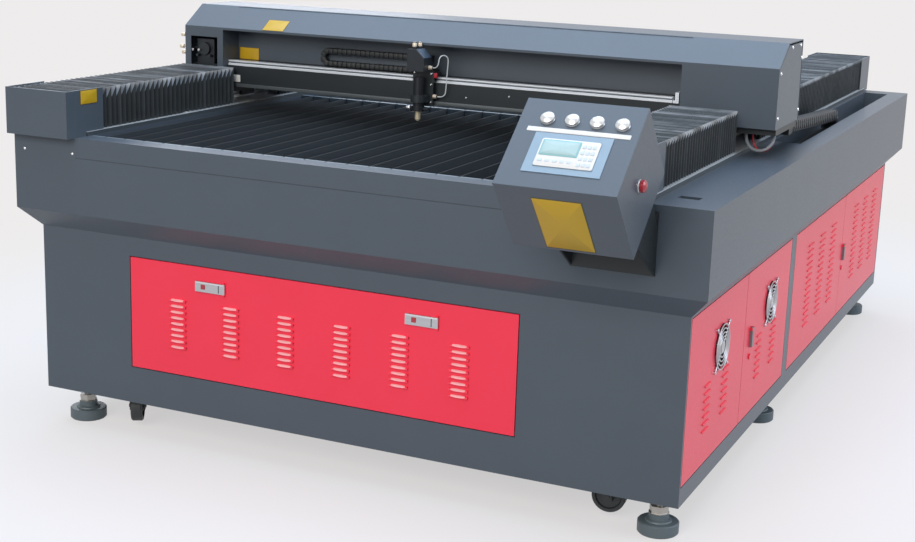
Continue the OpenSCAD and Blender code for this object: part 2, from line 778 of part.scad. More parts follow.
module console_bracket() color(black) {
  t = bracket_t;
  plate_x = [console_x + bracket_in[0], console_x + console_w - bracket_in[1]];
  low = [console_y + console_depth * sin(console_tilt),
    top + console_rise - console_depth * cos(console_tilt)];
  dir = [cos(console_tilt), sin(console_tilt)];
  n = [sin(console_tilt), -cos(console_tilt)];
  p0 = low + bracket_under[0] * dir + run * n;
  p1 = low + bracket_under[1] * dir + run * n;
  face = -tray_out;
  along_x(plate_x[0], plate_x[1]) {
    polygon([p0, p1, p1 + t * n, p0 + t * n]);
    area([face - t, top - bracket_down[0]], [face, top - bracket_down[1]]);
  }
  for (x = [plate_x[0], plate_x[1] - t]) along_x(x, x + t)
    polygon([p0, p1, p1 + t * n, [face - over, top - gusset_down], [face - over, top - bracket_down[0]]]);
}

// Feet and casters

module levelling_feet() color("#3b4146") for (f = foot_at) translate([f[0], f[1], 0]) {
  hub_top = pad_t + foot_hub_h;
  rotate_extrude() polygon([[0, 0], [pad_r - 4, 0], [pad_r, 4], [pad_r, pad_t - 3], [pad_r - 3, pad_t],
    [foot_hub_r + 10, pad_t], [foot_hub_r + 8, pad_t + 4], [foot_hub_r, pad_t + 7],
    [foot_hub_r, hub_top], [0, hub_top]]);
  rod_z(hub_top, floor_top + 14, 0, 0, stud_r - run);
  difference() {
    translate([0, 0, floor_z - 20]) cylinder(h = 20, r = stud_r * 1.7, $fn = 6);
    rod_z(floor_z - 21, floor_z + over, 0, 0, stud_r - run - 1);
  }
  // Lock nut on the hub
  translate([0, 0, hub_top]) cylinder(h = lock_h, r = foot_hub_r - 1, $fn = 6);
}

module at_caster(i) translate([casters[i][0], casters[i][1], 0]) rotate([0, 0, casters[i][2]]) children();

module caster_fork(i) color(steel) at_caster(i) {
  inside = wheel_w / 2 + 2;
  crown = fork_top - 16;
  difference() {
    union() {
      rod_z(crown, fork_top, 0, 0, 26);
      block([-inside - cheek_t, inside + cheek_t], [-20, trail + 12], [crown, crown + 5]);
    }
    rod_z(crown - over, fork_top + over, 0, 0, king_r + run);
  }
  for (s = [-1, 1]) along_x(s < 0 ? -inside - cheek_t : inside, s < 0 ? -inside : inside + cheek_t)
    polygon([[-20, crown], [trail + 12, crown], [trail + 12, axle_z - 12], [trail - 12, axle_z - 12]]);
  rod_x(-inside - cheek_t - 3, inside + cheek_t + 3, trail, axle_z, axle_r);
}

module caster_wheel(i) color("#2b2e31") at_caster(i) translate([0, trail, axle_z]) rotate([0, 90, 0])
  rotate_extrude() polygon([[axle_r + run, -wheel_w / 2], [16, -wheel_w / 2], [18, -wheel_w / 2 + 6],
    [wheel_r - 14, -wheel_w / 2 + 6], [wheel_r - 11, -wheel_w / 2], [wheel_r - 3, -wheel_w / 2],
    [wheel_r, -wheel_w / 2 + 4], [wheel_r, wheel_w / 2 - 4], [wheel_r - 3, wheel_w / 2],
    [wheel_r - 11, wheel_w / 2], [wheel_r - 14, wheel_w / 2 - 6], [18, wheel_w / 2 - 6], [16, wheel_w / 2],
    [axle_r + run, wheel_w / 2]]);

// Doors

// Cross-section of a column of louvres: x out of the door, y up; each has a hood open at its lower edge
module louvres_2d(rows, pitch, r) {
  t = 1.6;
  slots = [for (i = [0 : rows - 1]) (i + 0.4) * pitch];
  difference() {
    area([-sheet, 0], [0, rows * pitch]);
    for (z = slots) area([-sheet - over, z], [over, z + r - t]);
  }
  for (z = slots) translate([0, z]) intersection() {
    difference() {
      circle(r);
      circle(r - t);
    }
    area([0, 0], [r, r]);
  }
}

// Seat of a latch: two ears on the door's face with a pin through the lever
// Drawn with the door's face at z = 0, the lever along -x from its pin, its height along y
module latch_seat(size) {
  ear = 4;
  for (s = [-1, 1]) translate([-lever_t / 2, s > 0 ? size[1] / 2 + near : -size[1] / 2 - near - ear, -over])
    cube([lever_t, ear, lever_t + near + over]);
  translate([0, -size[1] / 2 - near - 1, lever_t / 2 + near]) rotate([-90, 0, 0])
    cylinder(h = size[1] + 2 * near + 2, r = lever_pin);
}

module latch_lever(size) translate([0, size[1] / 2, lever_t / 2 + near]) rotate([90, 0, 0])
  linear_extrude(size[1]) difference() {
    union() {
      circle(lever_t / 2);
      area([-size[0] + lever_t / 2, -lever_t / 2], [0, lever_t / 2]);
    }
    circle(lever_pin + run);
  }

// Frames of the latches: the front ones lie across, the side ones hang from a pin at the top
module at_front_latch(i) translate([front_latch_x[i] - lever_t / 2, 0, front_latch_z])
  rotate([90, 0, 0]) children();
module at_side_latch(i) translate([cab_x, side_latch_y[i], side_latch_z[i]])
  rotate([90, 0, 90]) rotate([0, 0, 90]) children();

module front_latch(i) color(steel) at_front_latch(i) latch_lever(front_lever);

front_cols = 6;
front_col_in = 179;
front_col_pitch = (front_open_w - 2 * front_col_in) / (front_cols - 1);
front_louvre_w = 60;
front_louvre_rise = 81;
front_louvre_head = 34;
front_louvre_z = front_open_z + front_louvre_rise;
front_louvre_h = front_latch_z - front_lever[1] / 2 - front_louvre_head - front_louvre_z;

module front_door() color(door_red) {
  a = [front_x0 + door_gap, front_open_z + door_gap];
  b = front_hole[1] - [door_gap, door_gap];
  cols = [for (i = [0 : front_cols - 1]) front_open_x + (i - (front_cols - 1) / 2) * front_col_pitch];
  holes = [for (x = cols) [[x - front_louvre_w / 2 + over, front_louvre_z + over],
    [x + front_louvre_w / 2 - over, front_louvre_z + front_louvre_h - over]]];
  difference() {
    union() {
      along_y(0, sheet) plate_2d(a, b, holes);
      along_y(0, door_fold) flanges_2d(a, b, []);
      for (x = cols) translate([x - front_louvre_w / 2, 0, front_louvre_z])
        mirror([0, 1, 0]) along_x(0, front_louvre_w)
          louvres_2d(front_rows, front_louvre_h / front_rows, front_louvre_r);
      for (x = [a[0], b[0] - pin_len - 4])
        block([x, x + pin_len + 4], [sheet - over, hinge_block], [a[1], a[1] + hinge_block]);
    }
    for (x = [a[0] - over, b[0] - pin_len])
      rod_x(x, x + pin_len + over, hinge_in, a[1] + hinge_in, hinge_r + run);
  }
  for (i = [0, 1]) at_front_latch(i) latch_seat(front_lever);
}

module side_door(i) color(door_red) {
  d = doors[i];
  a = [d[0], door_z0];
  b = [d[1], door_z1];
  mid = (d[0] + d[1]) / 2;
  w = d[3] == 2 ? 60 : 80;
  pitch = d[3] == 2 ? 190 : 200;
  cols = [for (k = [0 : d[3] - 1]) mid + (d[3] - 2) * fan_shift + (k - (d[3] - 1) / 2) * pitch];
  holes = [for (y = cols) [[y - w / 2 + over, louvre_z + over],
    [y + w / 2 - over, louvre_z + d[4] * d[5] - over]]];
  z = [door_z0, door_z1 - pin_len - 4];
  y0 = d[2] < 0 ? d[0] : d[1] - hinge_block;
  difference() {
    union() {
      along_x(cab_x - sheet, cab_x) plate_2d(a, b, holes);
      along_x(cab_x - door_fold, cab_x) flanges_2d(a, b, []);
      for (y = cols) translate([cab_x, 0, louvre_z]) along_y(y - w / 2, y + w / 2)
        louvres_2d(d[4], d[5], side_louvre_r);
      for (k = [0, 1])
        block([cab_x - hinge_block, cab_x - sheet + over], [y0, y0 + hinge_block],
          [z[k], z[k] + pin_len + 4]);
    }
    rod_z(door_z0 - over, door_z0 + pin_len, hinge_x, hinge_y(d), hinge_r + run);
    rod_z(door_z1 - pin_len, door_z1 + over, hinge_x, hinge_y(d), hinge_r + run);
    if (d[3] == 2) rod_x(cab_x - sheet - over, cab_x + over, mid + fan_shift, fan_z, fan_r);
  }
  if (d[2] > 0) {
    k = i == 1 ? 0 : 1;
    at_side_latch(k) latch_seat(side_lever);
    rod_x(cab_x - sheet, cab_x + 4, side_latch_y[k], side_latch_z[k] - side_lever[0] - 28, 9);
  }
}

// Fans, in their own frame: origin on the door's face, z out of the door
module at_fan(i) translate([cab_x, (doors[i][0] + doors[i][1]) / 2 + fan_shift, fan_z])
  rotate([90, 0, 90]) children();

rotor_z = -sheet - fan_depth + 10;
hub_r = 27;

module fan_housing(i) color(black) at_fan(i) {
  s = fan_size / 2;
  difference() {
    block([-s, s], [-s, s], [-sheet - fan_depth, -sheet]);
    rod_z(-sheet - fan_depth - over, -sheet + over, 0, 0, fan_r);
  }
  // Motor plate on three arms, with the shaft
  back = -sheet - fan_depth;
  rod_z(back, back + 6, 0, 0, hub_r);
  for (a = [0, 120, 240]) rotate([0, 0, a]) block([-6, 6], [hub_r - 2, fan_r + 2], [back, back + 5]);
  rod_z(back + 6, -sheet - 8, 0, 0, 4);
  // Guard: rings on four legs outside the door
  wire = 3;
  reach = fan_pitch / sqrt(2);
  for (r = [32 : 12 : 68]) translate([0, 0, 4]) linear_extrude(wire) difference() {
    circle(r);
    circle(r - wire);
  }
  for (a = [45 : 90 : 315]) rotate([0, 0, a]) {
    block([10, reach], [-wire / 2, wire / 2], [2, 5]);
    rod_z(0, 6, reach, 0, 5);
  }
  rod_z(2, 6, 0, 0, 20);
}

module fan_rotor(i) color("#33383c") at_fan(i) difference() {
  union() {
    rod_z(rotor_z, -sheet - 5, 0, 0, hub_r);
    for (a = [0 : 60 : 300]) rotate([0, 0, a]) translate([hub_r - 3, 0, (rotor_z - sheet - 5) / 2])
      rotate([38, 0, 0]) translate([0, -16, -1.2]) cube([fan_r - hub_r - 2, 32, 2.4]);
  }
  rod_z(rotor_z - over, -sheet - 7, 0, 0, 4 + run);
}

// Bridge

hood_lip = 8;
hood_outline = [[bridge_y, slope_z], [bridge_y + slope_d, bridge_top], [bridge_y1 - 15, bridge_top],
  [bridge_y1, bridge_z]];

// Hood: slope, top and back in one folded sheet, with a small lip under the slope
module bridge_hood() color(body_paint) {
  t = hood_t;
  s = t / cos(atan2(slope_h, slope_d));
  back = t / cos(atan2(15, bridge_top - bridge_z));
  along_x(bridge_x0, bridge_x1) polygon(concat(hood_outline, [[bridge_y1 - back, bridge_z],
    [bridge_y1 - 15 - back + 1, bridge_top - t], [bridge_y + slope_d + 1, bridge_top - t],
    [bridge_y + t, slope_z - s + t * slope_h / slope_d], [bridge_y + t, slope_z - hood_lip],
    [bridge_y, slope_z - hood_lip]]));
  // Wall at the back of the recess, between the end boxes
  block([left_box_x, right_box_x], [recess_y, recess_y + t], [beam_top, bridge_top - t / 2]);
}

window = [[-56, 40], [56, 152]];

// Inner outline of an end box under the hood
module box_2d() polygon([[bridge_y, bridge_z], [bridge_y, slope_z - hood_lip],
  [bridge_y + hood_t, slope_z - hood_lip],
  [bridge_y + hood_t, slope_z - 4], [bridge_y + slope_d, bridge_top - 8], [bridge_y1 - 24, bridge_top - 8],
  [bridge_y1 - 10, bridge_z]]);

module end_box(x0, x1) difference() {
  along_x(x0, x1) box_2d();
  along_x(x0 + sheet, x1 - sheet) polygon([[bridge_y + sheet, bridge_z - over],
    [bridge_y + sheet, slope_z - 14], [bridge_y + slope_d, bridge_top - 16],
    [bridge_y1 - 30, bridge_top - 16],
    [bridge_y1 - 18, bridge_z - over]]);
}

// Cut for the cross beam through a box's inner wall
module beam_passage(x) block([x - over, x + sheet + over], [beam_y, recess_y], [bridge_z - over, beam_top]);

module bridge_end_boxes() color(body_paint) {
  difference() {
    end_box(bridge_x0, left_box_x);
    translate([(bridge_x0 + left_box_x) / 2, 0, bridge_z])
      along_y(bridge_y - over, bridge_y + sheet + over) area(window[0], window[1]);
    // Hole for the tube's end, and the beam's passage
    rod_x(left_box_x - sheet - over, left_box_x + over, tube_y, tube_z, tube_r + 3);
    beam_passage(left_box_x - sheet);
  }
  difference() {
    end_box(right_box_x, bridge_x1);
    rod_x(right_box_x - over, right_box_x + sheet + over, tube_y, tube_z, tube_r + 3);
    beam_passage(right_box_x);
  }
}

// Cross beam, a foot at each end and two rail carriages under each foot
module bridge_beam() color(black) {
  block([bridge_x0 + sheet, bridge_x1 - sheet], [beam_y, recess_y], [beam_z, beam_top]);
  for (x = rails_x) {
    block([x - foot_w / 2, x + foot_w / 2], [bridge_y + 6, bridge_y1 - 20],
      [rail_top + 14 - over, beam_z + over]);
    for (y = [bridge_y + 30, bridge_y1 - 40 - block_len]) difference() {
      block([x - block_w / 2, x + block_w / 2], [y, y + block_len], [plate_top + 6, rail_top + 14]);
      block([x - rail_w / 2 - near, x + rail_w / 2 + near], [y - over, y + block_len + over],
        [plate_top, rail_top + near]);
    }
  }
  // Shelf for the cross drag chain
  block([left_box_x, right_box_x], [x_chain_y - 2, recess_y], [beam_top - over, cross_rail_top]);
  // Arm for the long drag chain
  block([y_chain_x - y_chain_w / 2, bridge_x1 - sheet - 1], [recess_y - over, bridge_y1 - 22],
    [beam_z, bridge_z]);
  block([y_chain_x - y_chain_w / 2, y_chain_x + y_chain_w / 2], [bridge_y1 - 22 - over, bracket_y],
    [y_chain_z + 2 * y_chain_r - y_chain_h / 2, bridge_z - 6]);
}

// Tube on two cradles that stand out from the recess's wall
cradle_in = 210;
cradle_w = 40;

module laser_tube() color("#cfd8dd") {
  rod_x(left_box_x + 10, right_box_x - 10, tube_y, tube_z, tube_r);
  for (x = [left_box_x + cradle_in, right_box_x - cradle_in - cradle_w])
    block([x, x + cradle_w], [recess_y + hood_t, tube_y], [tube_z - tube_r - 16, tube_z - tube_r + 8]);
}

// First mirror: plate on the beam, round mirror in its ring, knobs in the window and to the left side
module mirror_mount() color("#8d9398") {
  x = (bridge_x0 + left_box_x) / 2 - 10;
  z = mirror_z + mirror_side / 2;
  block([x - 36, x + 36], [beam_y, beam_y + 10], [beam_top, z + 34]);
  block([x - 30, x + 30], [beam_y + 10 - over, beam_y + 40], [beam_top, beam_top + 16]);
  rod_y(beam_y - 12, beam_y + over, x, z, 22);
  for (k = [-26, 26]) rod_y(beam_y - 18, beam_y + over, x + k, z - 24, 5);
  rod_x(bridge_x0 + sheet, x - 36 + over, beam_y + 5, z, 5);
}

// Cross rail with a groove along each side, and a stop bracket at its right end
module cross_rail() color(steel) {
  x0 = left_box_x + 1;
  x1 = right_box_x - 34;
  difference() {
    block([x0, x1], [cross_rail_y, cross_rail_y + cross_rail_d], [beam_top, cross_rail_top]);
    for (y = [cross_rail_y, cross_rail_y + cross_rail_d])
      translate([(x0 + x1) / 2, y, beam_top + cross_rail_h * 0.55]) rotate([45, 0, 0])
        cube([x1 - x0 + 2, 6, 6], center = true);
  }
  block([x1 + 4, x1 + 22], [cross_rail_y - 6, cross_rail_y + cross_rail_d + 6], [beam_top, beam_top + 8]);
  block([x1 + 10, x1 + 22], [cross_rail_y - 6, cross_rail_y + cross_rail_d + 6],
    [beam_top + 8 - over, cross_rail_top + 16]);
}

// Head

// Carriage: block on the cross rail, top plate and front plate
module head_carriage() color(black) {
  x = [head_x - head_w / 2, head_x + head_w / 2];
  difference() {
    block(x, [cross_rail_y - 8, cross_rail_y + cross_rail_d + 8], [beam_top + 4, cross_rail_top + 16]);
    block([x[0] - over, x[1] + over], [cross_rail_y - near, cross_rail_y + cross_rail_d + near],
      [beam_top, cross_rail_top + near]);
  }
  block(x, [head_y, head_y + head_plate_t], [lens_z + 14, mirror_z + 20]);
  block(x, [head_y + head_plate_t - over, cross_rail_y - 8 + over],
    [cross_rail_top + near, cross_rail_top + 16]);
  // Fitting of the air hose
  low = hose_route[len(hose_route) - 1];
  rod_x(x[1] - over, head_x + low[0], head_y + low[1], lens_z + low[2], hose_fit_r);
  // Clamp around the lens tube
  difference() {
    union() {
      block([head_x - 26, head_x + 26], [lens_y, head_y], [lens_z + 30, lens_z + 54]);
      rod_z(lens_z + 30, lens_z + 54, head_x, lens_y, 26);
    }
    rod_z(lens_z + 29, lens_z + 55, head_x, lens_y, lens_r + run);
  }
  // Post and arm to the cross chain's upper run
  back = cross_rail_y + cross_rail_d + 8;
  arm_z = x_chain_z + 2 * x_chain_r;
  block([x[0], x[0] + 30], [back - 14, back], [cross_rail_top + 16 - over, arm_z + x_chain_h / 2]);
  block([x[0], x[0] + 30], [back - over, x_chain_y + x_chain_w],
    [arm_z - x_chain_h / 2, arm_z + x_chain_h / 2]);
}

// Mirror housing: a block cut at 45 degrees behind its mirror, with two knobs
module head_mirror() color("#6d7f92") {
  h = mirror_side / 2;
  z = mirror_z + 21;
  difference() {
    along_y(head_y - 2 * h, head_y) polygon([[head_x - h, z], [head_x + h, z],
      [head_x + h, z + mirror_h - mirror_cut], [head_x + h - mirror_cut, z + mirror_h],
      [head_x - h, z + mirror_h]]);
    rod_x(head_x - h - over, head_x, lens_y, z + h, 12);
    rod_z(z - over, z + h, head_x, lens_y, 12);
  }
  block([head_x - h, head_x + h], [head_y - over, head_y + head_plate_t], [mirror_z + 20, z + 30]);
  for (k = mirror_knobs)
    rod_z(z + mirror_h - over, z + mirror_h + knob_h, head_x + k[0], lens_y + k[1], knob_r);
  // Fitting of the air hose
  high = hose_route[0];
  rod_x(head_x + h - over, head_x + high[0], head_y + high[1], lens_z + high[2], hose_fit_r);
}

// Lens tube with knurled collar and brass nozzle
module lens_tube() color("#b58a3c") translate([head_x, lens_y, 0]) {
  difference() {
    union() {
      rod_z(lens_z, mirror_z, 0, 0, lens_r);
      rod_z(lens_z - over, lens_z + 16, 0, 0, lens_r + 5);
      translate([0, 0, nozzle_z]) cylinder(h = nozzle_tip, r1 = 4, r2 = nozzle_r);
      rod_z(nozzle_z + nozzle_tip - over, lens_z, 0, 0, nozzle_r);
    }
    rod_z(lens_z + 4, mirror_z + over, 0, 0, lens_r - 4);
    rod_z(nozzle_z - over, lens_z + 5, 0, 0, 2);
  }
  // Air inlet on the right, thumb-screw of the focus clamp on the left
  rod_x(lens_r + 4, lens_r + 22, 0, lens_z + 8, 5);
  rod_x(-lens_r - 12, -lens_r - 4, 0, lens_z + 8, 3);
  rod_x(-lens_r - 24, -lens_r - 11, 0, lens_z + 8, 9);
}

// Cable loops: eight-sided tubes swept along their routes
function ring(p, q, r) = let (d = q / norm(q), u = cross(d, [0, 1, 0.2]), a = u / norm(u), b = cross(d, a))
  [for (k = [0 : 7]) p + r * (cos(k * 45) * a + sin(k * 45) * b)];

module swept(route, r, start, end) {
  last = len(route) - 1;
  rings = [for (i = [0 : last])
    each ring(route[i], i == 0 ? start : i == last ? end : route[i + 1] - route[i - 1], r)];
  polyhedron(rings, concat([[for (k = [0 : 7]) k]], [for (i = [0 : last - 1], k = [0 : 7])
    [8 * i + k, 8 * i + 8 + k, 8 * i + 8 + (k + 1) % 8, 8 * i + (k + 1) % 8]],
    [[for (k = [7 : -1 : 0]) 8 * last + k]]));
}

module cable(route, r) swept([for (p = route) p + [bridge_x1, bridge_y, beam_z]], r, [0, 0, -1], [0, 0, 1]);
module cable_grey() color("#8f9499") cable(grey_route, grey_r);
module cable_red() color("#b5202c") cable(red_route, red_r);
module air_hose() color("#c4cacd")
  swept([for (p = hose_route) p + [head_x, head_y, lens_z]], hose_r, [1, 0, 0], [-1, 0, 0]);

module placed() translate([0, -mid_y, 0]) children();

placed() cabinet_front_wall();
placed() cabinet_left_wall();
placed() cabinet_rear_wall();
placed() cabinet_right_frame();
placed() cabinet_floor();
placed() electrics();
placed() tray_end_beams();
placed() tray_left_beam();
placed() tray_right_beam();
placed() dust_pan();
placed() comb_bars();
placed() bed_slats();
placed() long_rails();
placed() bellows_covers();
placed() front_bellows();
placed() rear_bellows();
placed() long_drag_chain();
placed() console_bracket();
placed() console_case();
placed() control_panel();
placed() push_button(0);  // push_button_1
placed() push_button(1);  // push_button_2
placed() push_button(2);  // push_button_3
placed() push_button(3);  // push_button_4
placed() stop_button();
placed() levelling_feet();
placed() caster_fork(0);  // front_left_caster_fork
placed() caster_fork(1);  // front_right_caster_fork
placed() caster_fork(2);  // rear_left_caster_fork
placed() caster_fork(3);  // rear_right_caster_fork
placed() caster_wheel(0);  // front_left_caster_wheel
placed() caster_wheel(1);  // front_right_caster_wheel
placed() caster_wheel(2);  // rear_left_caster_wheel
placed() caster_wheel(3);  // rear_right_caster_wheel
placed() front_door();
placed() front_latch(0);  // front_latch_left
placed() front_latch(1);  // front_latch_right
placed() side_door(0);  // side_door_a
placed() side_door(1);  // side_door_b
placed() side_door(2);  // side_door_c
placed() side_door(3);  // side_door_d
placed() color(steel) at_side_latch(0) latch_lever(side_lever);  // side_latch_b
placed() color(steel) at_side_latch(1) latch_lever(side_lever);  // side_latch_d
placed() fan_housing(0);  // fan_housing_a
placed() fan_housing(1);  // fan_housing_b
placed() fan_rotor(0);  // fan_rotor_a
placed() fan_rotor(1);  // fan_rotor_b
placed() bridge_beam();
placed() bridge_hood();
placed() bridge_end_boxes();
placed() laser_tube();
placed() mirror_mount();
placed() cross_rail();
placed() cross_drag_chain();
placed() head_carriage();
placed() head_mirror();
placed() lens_tube();
placed() cable_grey();
placed() cable_red();
placed() air_hose();
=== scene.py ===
"""Looks of a flat-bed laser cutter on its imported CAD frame.

Shapes are worked out in millimetres, with y counted from the cabinet's front face as in the part's source,
and place() turns them into metres in the part's frame."""
import json

import bmesh
import bpy
import numpy as np
from mathutils import Matrix


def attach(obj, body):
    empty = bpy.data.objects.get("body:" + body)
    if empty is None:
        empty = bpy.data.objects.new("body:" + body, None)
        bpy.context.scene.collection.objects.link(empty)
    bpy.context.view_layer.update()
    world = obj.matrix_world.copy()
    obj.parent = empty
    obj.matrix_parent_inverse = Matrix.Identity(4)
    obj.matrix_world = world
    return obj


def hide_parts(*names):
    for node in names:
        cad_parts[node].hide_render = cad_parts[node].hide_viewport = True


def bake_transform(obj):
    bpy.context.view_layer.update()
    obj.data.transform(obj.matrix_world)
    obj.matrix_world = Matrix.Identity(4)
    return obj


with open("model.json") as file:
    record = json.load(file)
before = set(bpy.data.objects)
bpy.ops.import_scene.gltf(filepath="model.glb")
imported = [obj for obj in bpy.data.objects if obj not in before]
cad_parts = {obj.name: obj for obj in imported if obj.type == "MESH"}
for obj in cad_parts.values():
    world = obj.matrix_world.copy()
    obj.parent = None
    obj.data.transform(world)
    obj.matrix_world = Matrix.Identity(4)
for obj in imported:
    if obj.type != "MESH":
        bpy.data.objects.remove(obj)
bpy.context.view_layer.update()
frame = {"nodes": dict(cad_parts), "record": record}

nodes = frame["nodes"]
scene = bpy.context.scene
MID_Y = 1299.359


def place(points):
    """Millimetres from the cabinet's front to metres in the part's frame."""
    return (np.asarray(points, float) - [0, MID_Y, 0]) / 1000


# Materials

def srgb(code):
    """Hex colour to linear RGBA."""
    c = np.array([int(code[i:i + 2], 16) for i in (1, 3, 5)]) / 255
    return (*np.where(c <= 0.04045, c / 12.92, ((c + 0.055) / 1.055) ** 2.4), 1.0)


def add(tree, kind, inputs=(), **settings):
    """A node of that kind with its settings; each input is a value, or a socket to link."""
    node = tree.nodes.new("ShaderNode" + kind)
    for key, value in settings.items():
        setattr(node, key, value)
    for key, value in dict(inputs).items():
        if isinstance(value, bpy.types.NodeSocket):
            tree.links.new(value, node.inputs[key])
        else:
            node.inputs[key].default_value = value
    return node


def start(name, inputs):
    """A material with one Principled shader and Object coordinates: (material, tree, shader, coordinates)."""
    material = bpy.data.materials.new(name)
    material.use_nodes = True
    tree = material.node_tree
    tree.nodes.clear()
    shader = add(tree, "BsdfPrincipled", inputs)
    add(tree, "OutputMaterial", {"Surface": shader.outputs[0]})
    return material, tree, shader, add(tree, "TexCoord").outputs["Object"]


def feed(tree, shader, **links):
    """Links sockets to the shader's inputs; underscores in the names stand for spaces."""
    for key, socket in links.items():
        tree.links.new(socket, shader.inputs[key.replace("_", " ")])


def powder_coat(name, light, dark, rough, coat, peel_mm=5.0, peel=0.06):
    """Baked powder coat: even colour with faint clouding a hand wide, soft gloss, and orange peel in the
    sheen. Real peel is 1 to 2 mm; it is drawn coarser so that it shows in the render."""
    m, t, s, at = start(name, {"Coat Weight": coat, "Coat Roughness": 0.15, "Specular IOR Level": 0.4})
    cloud = add(t, "TexNoise", {"Vector": at, "Scale": 1000 / 160, "Detail": 4.0, "Roughness": 0.6})
    speck = add(t, "TexNoise", {"Vector": at, "Scale": 1000 / 9, "Detail": 2.0})
    tone = add(t, "Mix", {"Factor": cloud.outputs["Fac"], "A": srgb(dark), "B": srgb(light)},
               data_type="RGBA")
    gloss = add(t, "MapRange", {"Value": speck.outputs["Fac"], "To Min": rough - 0.06,
                                "To Max": rough + 0.07})
    grain = add(t, "TexNoise", {"Vector": at, "Scale": 1000 / peel_mm, "Detail": 2.0})
    bump = add(t, "Bump", {"Height": grain.outputs["Fac"], "Strength": peel, "Distance": 0.001})
    feed(t, s, Base_Color=tone.outputs["Result"], Roughness=gloss.outputs["Result"],
         Normal=bump.outputs["Normal"])
    return m


def brushed(name, light, dark, rough, line_mm, along, metallic=1.0, depth=0.12):
    """Ground or brushed metal: fine scratches drawn out along one axis, so the sheen runs across them."""
    m, t, s, at = start(name, {"Metallic": metallic})
    stretch = [1000 / line_mm] * 3
    stretch[along] /= 60
    lines = add(t, "Mapping", {"Vector": at, "Scale": stretch})
    scratch = add(t, "TexNoise", {"Vector": lines.outputs[0], "Scale": 1.0, "Detail": 3.0})
    tone = add(t, "Mix", {"Factor": scratch.outputs["Fac"], "A": srgb(dark), "B": srgb(light)},
               data_type="RGBA")
    gloss = add(t, "MapRange", {"Value": scratch.outputs["Fac"], "To Min": rough - 0.08,
                                "To Max": rough + 0.1})
    bump = add(t, "Bump", {"Height": scratch.outputs["Fac"], "Strength": depth, "Distance": 0.0005})
    feed(t, s, Base_Color=tone.outputs["Result"], Roughness=gloss.outputs["Result"],
         Normal=bump.outputs["Normal"])
    return m


def moulded(name, light, dark, rough, grain_mm, bump_by=0.15, metallic=0.0, coat=0.0):
    """Moulded plastic, cast or anodised metal: a fine even grain breaks up the shine, with slight
    mottling."""
    m, t, s, at = start(name, {"Metallic": metallic, "Coat Weight": coat, "Coat Roughness": 0.1})
    mottle = add(t, "TexNoise", {"Vector": at, "Scale": 1000 / 25, "Detail": 3.0})
    tone = add(t, "Mix", {"Factor": mottle.outputs["Fac"], "A": srgb(dark), "B": srgb(light)},
               data_type="RGBA")
    grain = add(t, "TexVoronoi", {"Vector": at, "Scale": 1000 / grain_mm})
    gloss = add(t, "MapRange", {"Value": grain.outputs["Distance"], "To Min": rough - 0.06,
                                "To Max": rough + 0.1})
    bump = add(t, "Bump", {"Height": grain.outputs["Distance"], "Strength": bump_by, "Distance": 0.0005})
    feed(t, s, Base_Color=tone.outputs["Result"], Roughness=gloss.outputs["Result"],
         Normal=bump.outputs["Normal"])
    return m


def two_zones(name, axis, level, low, high, low_set, high_set, grain_mm=2.0):
    """One node with two finishes that meet at a level along an axis, in metres: each has its colour and a
    roughness and metallic pair."""
    m, t, s, at = start(name, {})
    split = add(t, "SeparateXYZ", {"Vector": at})
    side = add(t, "Math", {0: split.outputs[axis], 1: level}, operation="GREATER_THAN").outputs[0]
    grain = add(t, "TexNoise", {"Vector": at, "Scale": 1000 / grain_mm, "Detail": 3.0})
    tone = add(t, "Mix", {"Factor": side, "A": srgb(low), "B": srgb(high)}, data_type="RGBA")
    shade = add(t, "MapRange", {"Value": grain.outputs["Fac"], "To Min": 0.8, "To Max": 1.1})
    toned = add(t, "Mix", {"Factor": 1.0, "A": tone.outputs["Result"], "B": shade.outputs["Result"]},
                data_type="RGBA", blend_type="MULTIPLY")
    rough = add(t, "MapRange", {"Value": side, "To Min": low_set[0], "To Max": high_set[0]})
    metal = add(t, "MapRange", {"Value": side, "To Min": low_set[1], "To Max": high_set[1]})
    bump = add(t, "Bump", {"Height": grain.outputs["Fac"], "Strength": 0.1, "Distance": 0.0005})
    feed(t, s, Base_Color=toned.outputs["Result"], Roughness=rough.outputs["Result"],
         Metallic=metal.outputs["Result"], Normal=bump.outputs["Normal"])
    return m


